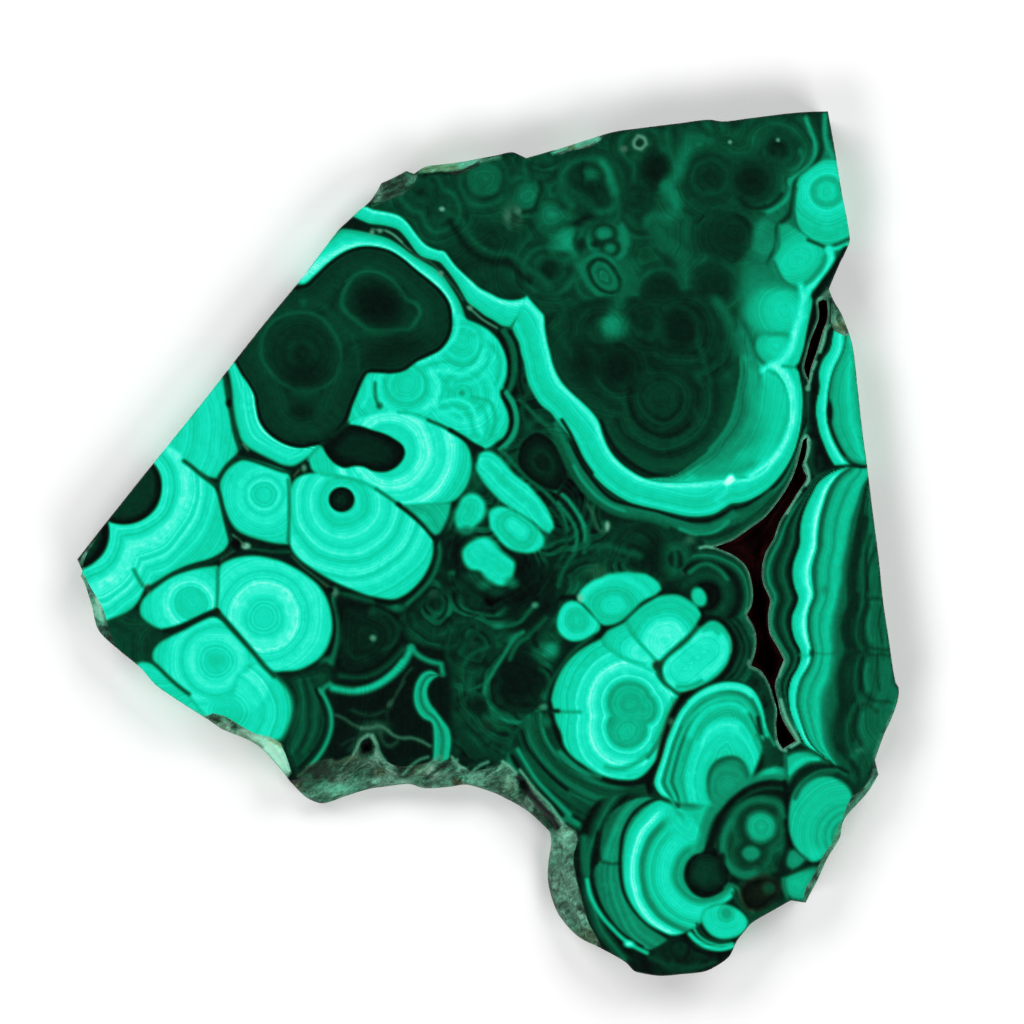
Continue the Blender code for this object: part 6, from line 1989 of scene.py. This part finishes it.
def make_mesh(shell):
    """One mesh with shared points, the map and the stone's painted values."""
    points = np.vstack(shell.points)
    faces = np.vstack(shell.faces)
    corners = np.vstack(shell.corners)
    kinds = np.concatenate(shell.kinds)
    points, place = np.unique(np.round(points, 9), axis=0, return_inverse=True)
    place = place.reshape(-1)
    skin = np.ones(len(points))
    np.minimum.at(skin, place, np.concatenate(shell.skins))
    faces = place[faces]
    whole = np.all(faces != np.roll(faces, 1, axis=1), axis=1)
    faces = faces[whole]
    corners = corners[whole]
    kinds = kinds[whole]
    data = bpy.data.meshes.new("malachite_slab")
    data.vertices.add(len(points))
    data.vertices.foreach_set("co", points.ravel())
    data.loops.add(faces.size)
    data.loops.foreach_set("vertex_index", faces.ravel().astype(np.int32))
    data.polygons.add(len(faces))
    data.polygons.foreach_set("loop_start", np.arange(0, faces.size, 3, dtype=np.int32))
    data.polygons.foreach_set("material_index", kinds.astype(np.int32))
    data.polygons.foreach_set("use_smooth", kinds != FACE)
    data.update(calc_edges=True)
    layer = data.uv_layers.new(name="OFBake")
    layer.data.foreach_set("uv", corners.reshape(-1, 2).ravel().astype(np.float32))
    data.validate()
    parts = np.zeros(len(points), dtype=int)
    for kind in (FACE, RIND, WALL, HOLLOW, BACK):
        parts[faces[kinds == kind]] = kind
    for name, values in stone_values(points, parts == BACK, skin).items():
        attribute = data.attributes.new(name, "FLOAT", "POINT")
        attribute.data.foreach_set("value", values.astype(np.float32))
    return data


def stone_values(points, under, skin):
    """Painted values at every point; skin is the share of natural skin over the stone."""
    picture = to_picture(points[:, :2])
    x, y = picture[under].T
    drift = [value_noise(x, y, UNDERSIDE_DRIFT_SIZE, seed) for seed in UNDERSIDE_SEEDS]
    picture[under] += UNDERSIDE_DRIFT * np.column_stack(drift)
    canvas = Canvas(picture, BASE_TONE)
    paint(canvas)
    covered = np.nonzero(skin > 0)[0]
    rind = Canvas(picture[covered], BASE_TONE)
    rind.tone = canvas.tone[covered]
    paint_rind(rind)
    canvas.blend(covered, skin[covered], rind.tone, rind.grey, rind.warm)
    return {"tone": canvas.tone, "grey": canvas.grey, "warm": canvas.warm, "ring": canvas.ring}


# Colour of the clean stone at each tone, as tone, red, green and blue, the colours from 0 to 255.
TONE_COLOURS = (
    (0, 1, 0, 0), (12, 2, 12, 9), (40, 2, 40, 26), (72, 3, 72, 46), (104, 5, 104, 73), (136, 7, 136, 99),
    (168, 5, 168, 126), (200, 5, 200, 156), (216, 8, 216, 179), (232, 23, 232, 195), (244, 70, 244, 215),
    (252, 130, 252, 230), (262, 200, 255, 243),
)
TONE_TOP = 262.0
TONE_STOPS = 28
DISPLAY_TOP = 255.0
DISPLAY_POWER = 2.2
# Grey crust and brown stain at full brightness, as display values from 0 to 1.
GREY_TINT = (0.66, 0.92, 0.79)
WARM_TINT = (0.85, 0.80, 0.45)
# Colours inside the hollow, a red-brown tint darkened to near black as painted shade deep in it: place along
# the noise and colour, and the colour of its painted glints.
HOLLOW_SHADE_COLOURS = (
    (0.0, (0.0040, 0.0004, 0.0005, 1.0)), (0.5, (0.022, 0.0010, 0.0015, 1.0)),
    (0.68, (0.060, 0.004, 0.007, 1.0)), (1.0, (0.100, 0.024, 0.030, 1.0)),
)
PAINTED_GLINT_COLOUR = (0.20, 0.15, 0.15, 1.0)
WHITE = (1.0, 1.0, 1.0, 1.0)

# Noises of the materials, as lumps per metre, detail and roughness.
SILK = (5200.0, 3.0, 0.6)
CLOUDS = (900.0, 4.0, 0.6)
WORN_GLOSS = (1600.0, 4.0, 0.65)
SCRATCHES = (9000.0, 2.0, 0.5)
PORES = (3000.0, 5.0, 0.7)
COARSE_SPECKS = (700.0, 5.0, 0.65)
SMALL_SPECKS = (3600.0, 3.0, 0.7)
SKIN_FIBRES = (1500.0, 4.0, 0.7)
ROUGH_GLOSS = (1500.0, 4.0, 0.6)
ROUGH_LUMPS = (1100.0, 6.0, 0.7)
ROUGH_GRAIN = (5200.0, 4.0, 0.7)
HOLLOW_SHADE_PATCHES = (420.0, 4.0, 0.6)
PAINTED_GLINT_NOISE = (900.0, 3.0, 0.6)
CRUST_GLOSS = (2600.0, 3.0, 0.6)
CRUST_LUMPS = (1800.0, 6.0, 0.7)
PAPER_CLOUDS = (60.0, 4.0, 0.6)
PAPER_GRAIN = (1500.0, 3.0, 0.6)
# Hairlines along the ring value: lines per picture unit and detail.
HAIRLINES = (0.45, 3.0)
# Part of a noise's range in which it mostly lies.
NOISE_RANGE = (0.3, 0.7)

# Strength of each kind of grain, in tones.
SILK_TONES = 16.0
CLOUD_TONES = 18.0
# How grain follows the tone: a range of tones, and the strength or share that it has at either end.
HAIRLINE_TONES = ((20.0, 190.0), (14.0, 42.0))
HAIRLINES_IN_BRIGHT_BANDS = ((212.0, 240.0), (1.0, 0.45))
SPECKS_IN_DARK_STONE = ((5.0, 100.0), (0.2, 1.0))
SPECKS_IN_BRIGHT_STONE = ((150.0, 230.0), (1.0, 0.35))

# Shader values: roughness, reflection, and relief as its height in metres and its strength.
POLISH_ROUGHNESS = (0.10, 0.19)
ROUGHNESS_OF_BRIGHT_BANDS = ((0.0, 260.0), (0.0, 0.05))
SCRATCH_STRETCH = (1.0, 0.06, 1.0)
SCRATCH_SHARE = 0.35
PORE_SHARE = 0.65
POLISH_RELIEF = (0.000006, 0.6)
MALACHITE_IOR = 1.65
ROUGHNESS_SPREAD = 0.12
ROUGH_RELIEF_STRENGTH = 0.8
ROUGH_GRAIN_SHARE = 0.3
ROUGH_SPECULAR = 0.22
FIBRE_TURN = math.radians(36.0)
FIBRE_STRETCH = (0.28, 1.0, 1.0)
FIBRE_DISTORTION = 0.4
CRUST_ROUGHNESS = (0.55, 0.85)
CRUST_RELIEF = (0.0002, 0.9)
CRUST_SPECULAR = 0.12
PAINTED_GLINT_RANGE = (0.72, 0.80)
PAPER_BRIGHTNESS = (0.925, 0.945)
PAPER_ROUGHNESS = 0.85
PAPER_RELIEF = (0.00001, 0.4)


def linear(value):
    """Linear light from a display value between 0 and 255, by the standard display curve."""
    value = np.asarray(value, float) / DISPLAY_TOP
    return np.where(value <= 0.04045, value / 12.92, ((value + 0.055) / 1.055) ** 2.4)


class Nodes:
    """Short way to add and join shader nodes."""

    def __init__(self, name):
        self.material = bpy.data.materials.new(name)
        self.material.use_nodes = True
        self.tree = self.material.node_tree
        self.shader = self.tree.nodes["Principled BSDF"]

    def plug(self, socket, value):
        """Link a socket or set its value."""
        if isinstance(value, bpy.types.NodeSocket):
            self.tree.links.new(value, socket)
        elif value is not None:
            socket.default_value = value

    def surface(self, name, value):
        """Link or set one of the shader's own sockets."""
        self.plug(self.shader.inputs[name], value)

    def add(self, kind, inputs=(), **settings):
        """New node with its settings and named inputs."""
        node = self.tree.nodes.new("ShaderNode" + kind)
        for name, value in settings.items():
            setattr(node, name, value)
        for name, value in dict(inputs).items():
            self.plug(node.inputs[name], value)
        return node

    def value(self, name):
        """A painted value of the mesh."""
        return self.add("Attribute", attribute_name=name).outputs["Fac"]

    def math(self, operation, a, b, clamp=False):
        """Result of a sum done on two values."""
        return self.add("Math", {0: a, 1: b}, operation=operation, use_clamp=clamp).outputs[0]

    def sum(self, a, b):
        return self.math("ADD", a, b)

    def scaled(self, a, b):
        return self.math("MULTIPLY", a, b)

    def ramp(self, value, stops):
        """Colour at a value, from stops that hold a place and a colour."""
        node = self.add("ValToRGB", {0: value})
        elements = node.color_ramp.elements
        while len(elements) < len(stops):
            elements.new(1.0)
        for element, (place, colour) in zip(elements, stops):
            element.position = place
            element.color = colour
        return node.outputs[0]

    def mix(self, share, a, b, blend="MIX"):
        """Second colour laid over the first by a share."""
        inputs = {"Factor": share, "A": a, "B": b}
        return self.add("Mix", inputs, data_type="RGBA", blend_type=blend).outputs["Result"]

    def noise(self, layers, stretch=None, turn=0.0, distortion=0.0):
        """Noise in object space, given as lumps per metre, detail and roughness."""
        scale, detail, rough = layers
        place = self.add("TexCoord").outputs["Object"]
        if turn:
            inputs = {"Vector": place, "Angle": -turn}
            place = self.add("VectorRotate", inputs, rotation_type="Z_AXIS").outputs[0]
        if stretch:
            place = self.add("Mapping", {"Scale": stretch, "Vector": place}).outputs[0]
        inputs = {"Vector": place, "Scale": scale, "Detail": detail, "Roughness": rough,
                  "Distortion": distortion}
        return self.add("TexNoise", inputs).outputs["Fac"]

    def hairlines(self, place, scale, detail):
        """Noise along one value only, such as the distance across the bands."""
        inputs = {"W": place, "Scale": scale, "Detail": detail}
        return self.add("TexNoise", inputs, noise_dimensions="1D").outputs["Fac"]

    def grain(self, noise, strength):
        """Noise about zero with the given strength."""
        return self.scaled(self.math("SUBTRACT", noise, 0.5), strength)

    def spread(self, value, old, new):
        """Stretch a value from an old range to a new one, kept inside it."""
        return self.add("MapRange", enumerate((value, *old, *new))).outputs[0]

    def by_tone(self, old, new):
        """Value that follows the painted tone from an old range to a new one."""
        return self.spread(self.value("tone"), old, new)

    def relief(self, height, distance, strength, under=None):
        """Fine relief of the surface, over another one if there is one."""
        inputs = {"Height": height, "Distance": distance, "Strength": strength, "Normal": under}
        return self.add("Bump", inputs).outputs[0]


def stone_colour(nodes, grain, dullness=0.0):
    """Colour from the painted tone, with grain added, and its greyness and warmth."""
    tone = nodes.sum(nodes.value("tone"), grain)
    share = nodes.math("DIVIDE", tone, TONE_TOP, clamp=True)
    table = np.array(TONE_COLOURS, float)
    stops = []
    for place in np.linspace(0.0, TONE_TOP, TONE_STOPS):
        colour = [float(linear(np.interp(place, table[:, 0], table[:, k]))) for k in (1, 2, 3)]
        stops.append((place / TONE_TOP, (*colour, 1.0)))
    green = nodes.ramp(share, stops)
    display = nodes.math("MULTIPLY", tone, 1.0 / DISPLAY_TOP, clamp=True)
    display = nodes.math("POWER", display, DISPLAY_POWER)
    grey, warm = (nodes.mix(1.0, (*(part ** DISPLAY_POWER for part in tint), 1.0), display, "MULTIPLY")
                  for tint in (GREY_TINT, WARM_TINT))
    share = nodes.math("ADD", nodes.value("grey"), dullness, clamp=True)
    return nodes.mix(nodes.value("warm"), nodes.mix(share, green, grey), warm), tone


def polished_stone():
    """Polished face: crisp bands, silky fibres in light bands and faint scratches in the gloss."""
    nodes = Nodes("malachite_polished")
    silk = nodes.grain(nodes.noise(SILK), SILK_TONES)
    clouds = nodes.grain(nodes.noise(CLOUDS), CLOUD_TONES)
    strength = nodes.scaled(nodes.by_tone(*HAIRLINE_TONES), nodes.by_tone(*HAIRLINES_IN_BRIGHT_BANDS))
    lines = nodes.grain(nodes.hairlines(nodes.value("ring"), *HAIRLINES), strength)
    colour, tone = stone_colour(nodes, nodes.sum(nodes.sum(silk, clouds), lines))
    nodes.surface("Base Color", colour)
    gloss = nodes.spread(nodes.noise(WORN_GLOSS), NOISE_RANGE, POLISH_ROUGHNESS)
    nodes.surface("Roughness", nodes.sum(gloss, nodes.spread(tone, *ROUGHNESS_OF_BRIGHT_BANDS)))
    scratches = nodes.scaled(nodes.noise(SCRATCHES, stretch=SCRATCH_STRETCH), SCRATCH_SHARE)
    pores = nodes.scaled(nodes.noise(PORES), PORE_SHARE)
    nodes.surface("Normal", nodes.relief(nodes.sum(scratches, pores), *POLISH_RELIEF))
    nodes.surface("IOR", MALACHITE_IOR)
    return nodes.material


def rough_stone(name, roughness, depth, dullness, speckle, fibrous=False):
    """Broken or sawn stone: the painted colour, dulled and speckled, over a rough surface."""
    nodes = Nodes(name)
    coarse = nodes.grain(nodes.noise(COARSE_SPECKS), speckle)
    small = nodes.grain(nodes.noise(SMALL_SPECKS), speckle)
    grain = nodes.sum(coarse, small)
    if fibrous:
        fibres = nodes.noise(SKIN_FIBRES, FIBRE_STRETCH, FIBRE_TURN, FIBRE_DISTORTION)
        grain = nodes.sum(grain, nodes.grain(fibres, 2.0 * speckle))
    grain = nodes.scaled(grain, nodes.by_tone(*SPECKS_IN_DARK_STONE))
    grain = nodes.scaled(grain, nodes.by_tone(*SPECKS_IN_BRIGHT_STONE))
    nodes.surface("Base Color", stone_colour(nodes, grain, dullness)[0])
    nodes.surface("Specular IOR Level", ROUGH_SPECULAR)
    limits = (roughness - ROUGHNESS_SPREAD, roughness + ROUGHNESS_SPREAD)
    nodes.surface("Roughness", nodes.spread(nodes.noise(ROUGH_GLOSS), NOISE_RANGE, limits))
    bumps = nodes.relief(nodes.noise(ROUGH_LUMPS), depth, ROUGH_RELIEF_STRENGTH)
    fine = nodes.noise(ROUGH_GRAIN)
    nodes.surface("Normal", nodes.relief(fine, ROUGH_GRAIN_SHARE * depth, ROUGH_RELIEF_STRENGTH, bumps))
    return nodes.material


def hollow_stone():
    """Inside of the hollow: a red-brown tint darkened to near black as painted shade, with a few painted grey
    glints.
    """
    nodes = Nodes("malachite_hollow")
    # Painted shade: the near-black colour stands in for the shade deep in the hollow, and the paler grey
    # spots are painted glints.
    colour = nodes.ramp(nodes.noise(HOLLOW_SHADE_PATCHES), HOLLOW_SHADE_COLOURS)
    painted_glint = nodes.spread(nodes.noise(PAINTED_GLINT_NOISE), PAINTED_GLINT_RANGE, (0.0, 1.0))
    nodes.surface("Base Color", nodes.mix(painted_glint, colour, PAINTED_GLINT_COLOUR))
    nodes.surface("Specular IOR Level", CRUST_SPECULAR)
    nodes.surface("Roughness", nodes.spread(nodes.noise(CRUST_GLOSS), NOISE_RANGE, CRUST_ROUGHNESS))
    nodes.surface("Normal", nodes.relief(nodes.noise(CRUST_LUMPS), *CRUST_RELIEF))
    return nodes.material


def floor_material():
    """Plain near-white paper."""
    nodes = Nodes("paper_floor")
    shade = nodes.spread(nodes.noise(PAPER_CLOUDS), NOISE_RANGE, PAPER_BRIGHTNESS)
    nodes.surface("Base Color", nodes.mix(1.0, WHITE, shade, "MULTIPLY"))
    nodes.surface("Roughness", PAPER_ROUGHNESS)
    nodes.surface("Normal", nodes.relief(nodes.noise(PAPER_GRAIN), *PAPER_RELIEF))
    return nodes.material


# Camera, lights and floor, in metres and watts.
CAMERA_DISTANCE = 0.95
SENSOR_WIDTH = 36.0
CLIP_END = 20.0
FLOOR_SIZE = 2.4
LIGHT_TURNS = (45.0, 135.0, 225.0, 315.0)
LIGHT_REACH = 0.60
LIGHT_HEIGHT = 0.62
LIGHT_SIZE = 0.50
LIGHT_BREADTH = 0.7 * LIGHT_SIZE
LIGHT_POWER = 3.0
WORLD_STRENGTH = 0.02


def add_slab():
    """The stone as one piece in the place of its CAD node."""
    data = make_mesh(build_shell())
    for material in (polished_stone(),
                     rough_stone("malachite_rind", roughness=0.62, depth=0.00016, dullness=0.0,
                                 speckle=130.0, fibrous=True),
                     rough_stone("malachite_broken", roughness=0.55, depth=0.00012, dullness=0.15,
                                 speckle=60.0, fibrous=True),
                     rough_stone("malachite_sawn", roughness=0.48, depth=0.00003, dullness=0.30,
                                 speckle=26.0),
                     hollow_stone()):
        data.materials.append(material)
    slab = bpy.data.objects.new("malachite_slab", data)
    bpy.context.scene.collection.objects.link(slab)
    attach(slab, "root")
    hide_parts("slab")


def add_floor():
    """Pale floor that the slab lies on."""
    half = 0.5 * FLOOR_SIZE
    corners = [(-half, -half, 0.0), (half, -half, 0.0), (half, half, 0.0), (-half, half, 0.0)]
    data = bpy.data.meshes.new("floor")
    data.from_pydata(corners, [], [(0, 1, 2, 3)])
    data.materials.append(floor_material())
    floor = bpy.data.objects.new("floor", data)
    bpy.context.scene.collection.objects.link(floor)


def add_lights():
    """Large soft lights low on four sides, so that nothing bright stands over the polished face."""
    for number, degrees in enumerate(LIGHT_TURNS):
        angle = math.radians(degrees)
        light = bpy.data.lights.new(f"soft_light_{number}", "AREA")
        light.shape = "RECTANGLE"
        light.size = LIGHT_SIZE
        light.size_y = LIGHT_BREADTH
        light.energy = LIGHT_POWER
        lamp = bpy.data.objects.new(f"soft_light_{number}", light)
        lamp.location = (LIGHT_REACH * math.cos(angle), LIGHT_REACH * math.sin(angle), LIGHT_HEIGHT)
        lamp.rotation_euler = (-lamp.location).to_track_quat("-Z", "Y").to_euler()
        bpy.context.scene.collection.objects.link(lamp)


def add_camera():
    """Camera straight above the slab, framed as the picture is."""
    middle = 0.5 * PICTURE_WIDTH
    lens = bpy.data.cameras.new("camera")
    lens.sensor_width = SENSOR_WIDTH
    lens.lens = SENSOR_WIDTH * CAMERA_DISTANCE / (PICTURE_WIDTH * UNIT)
    lens.clip_end = CLIP_END
    camera = bpy.data.objects.new("camera", lens)
    centre = to_metres([(middle, middle)])[0]
    camera.location = (centre[0], centre[1], SLAB_THICKNESS + CAMERA_DISTANCE)
    bpy.context.scene.collection.objects.link(camera)
    bpy.context.scene.camera = camera


def set_world():
    """Dim even surroundings."""
    world = bpy.data.worlds.new("surroundings")
    world.use_nodes = True
    background = world.node_tree.nodes["Background"]
    background.inputs["Color"].default_value = WHITE
    background.inputs["Strength"].default_value = WORLD_STRENGTH
    bpy.context.scene.world = world
    bpy.context.scene.view_settings.view_transform = "Standard"


def main():
    """Build the scene and keep both boxes: the CAD's and the visual model's."""
    add_slab()
    add_floor()
    add_lights()
    add_camera()
    set_world()


main()
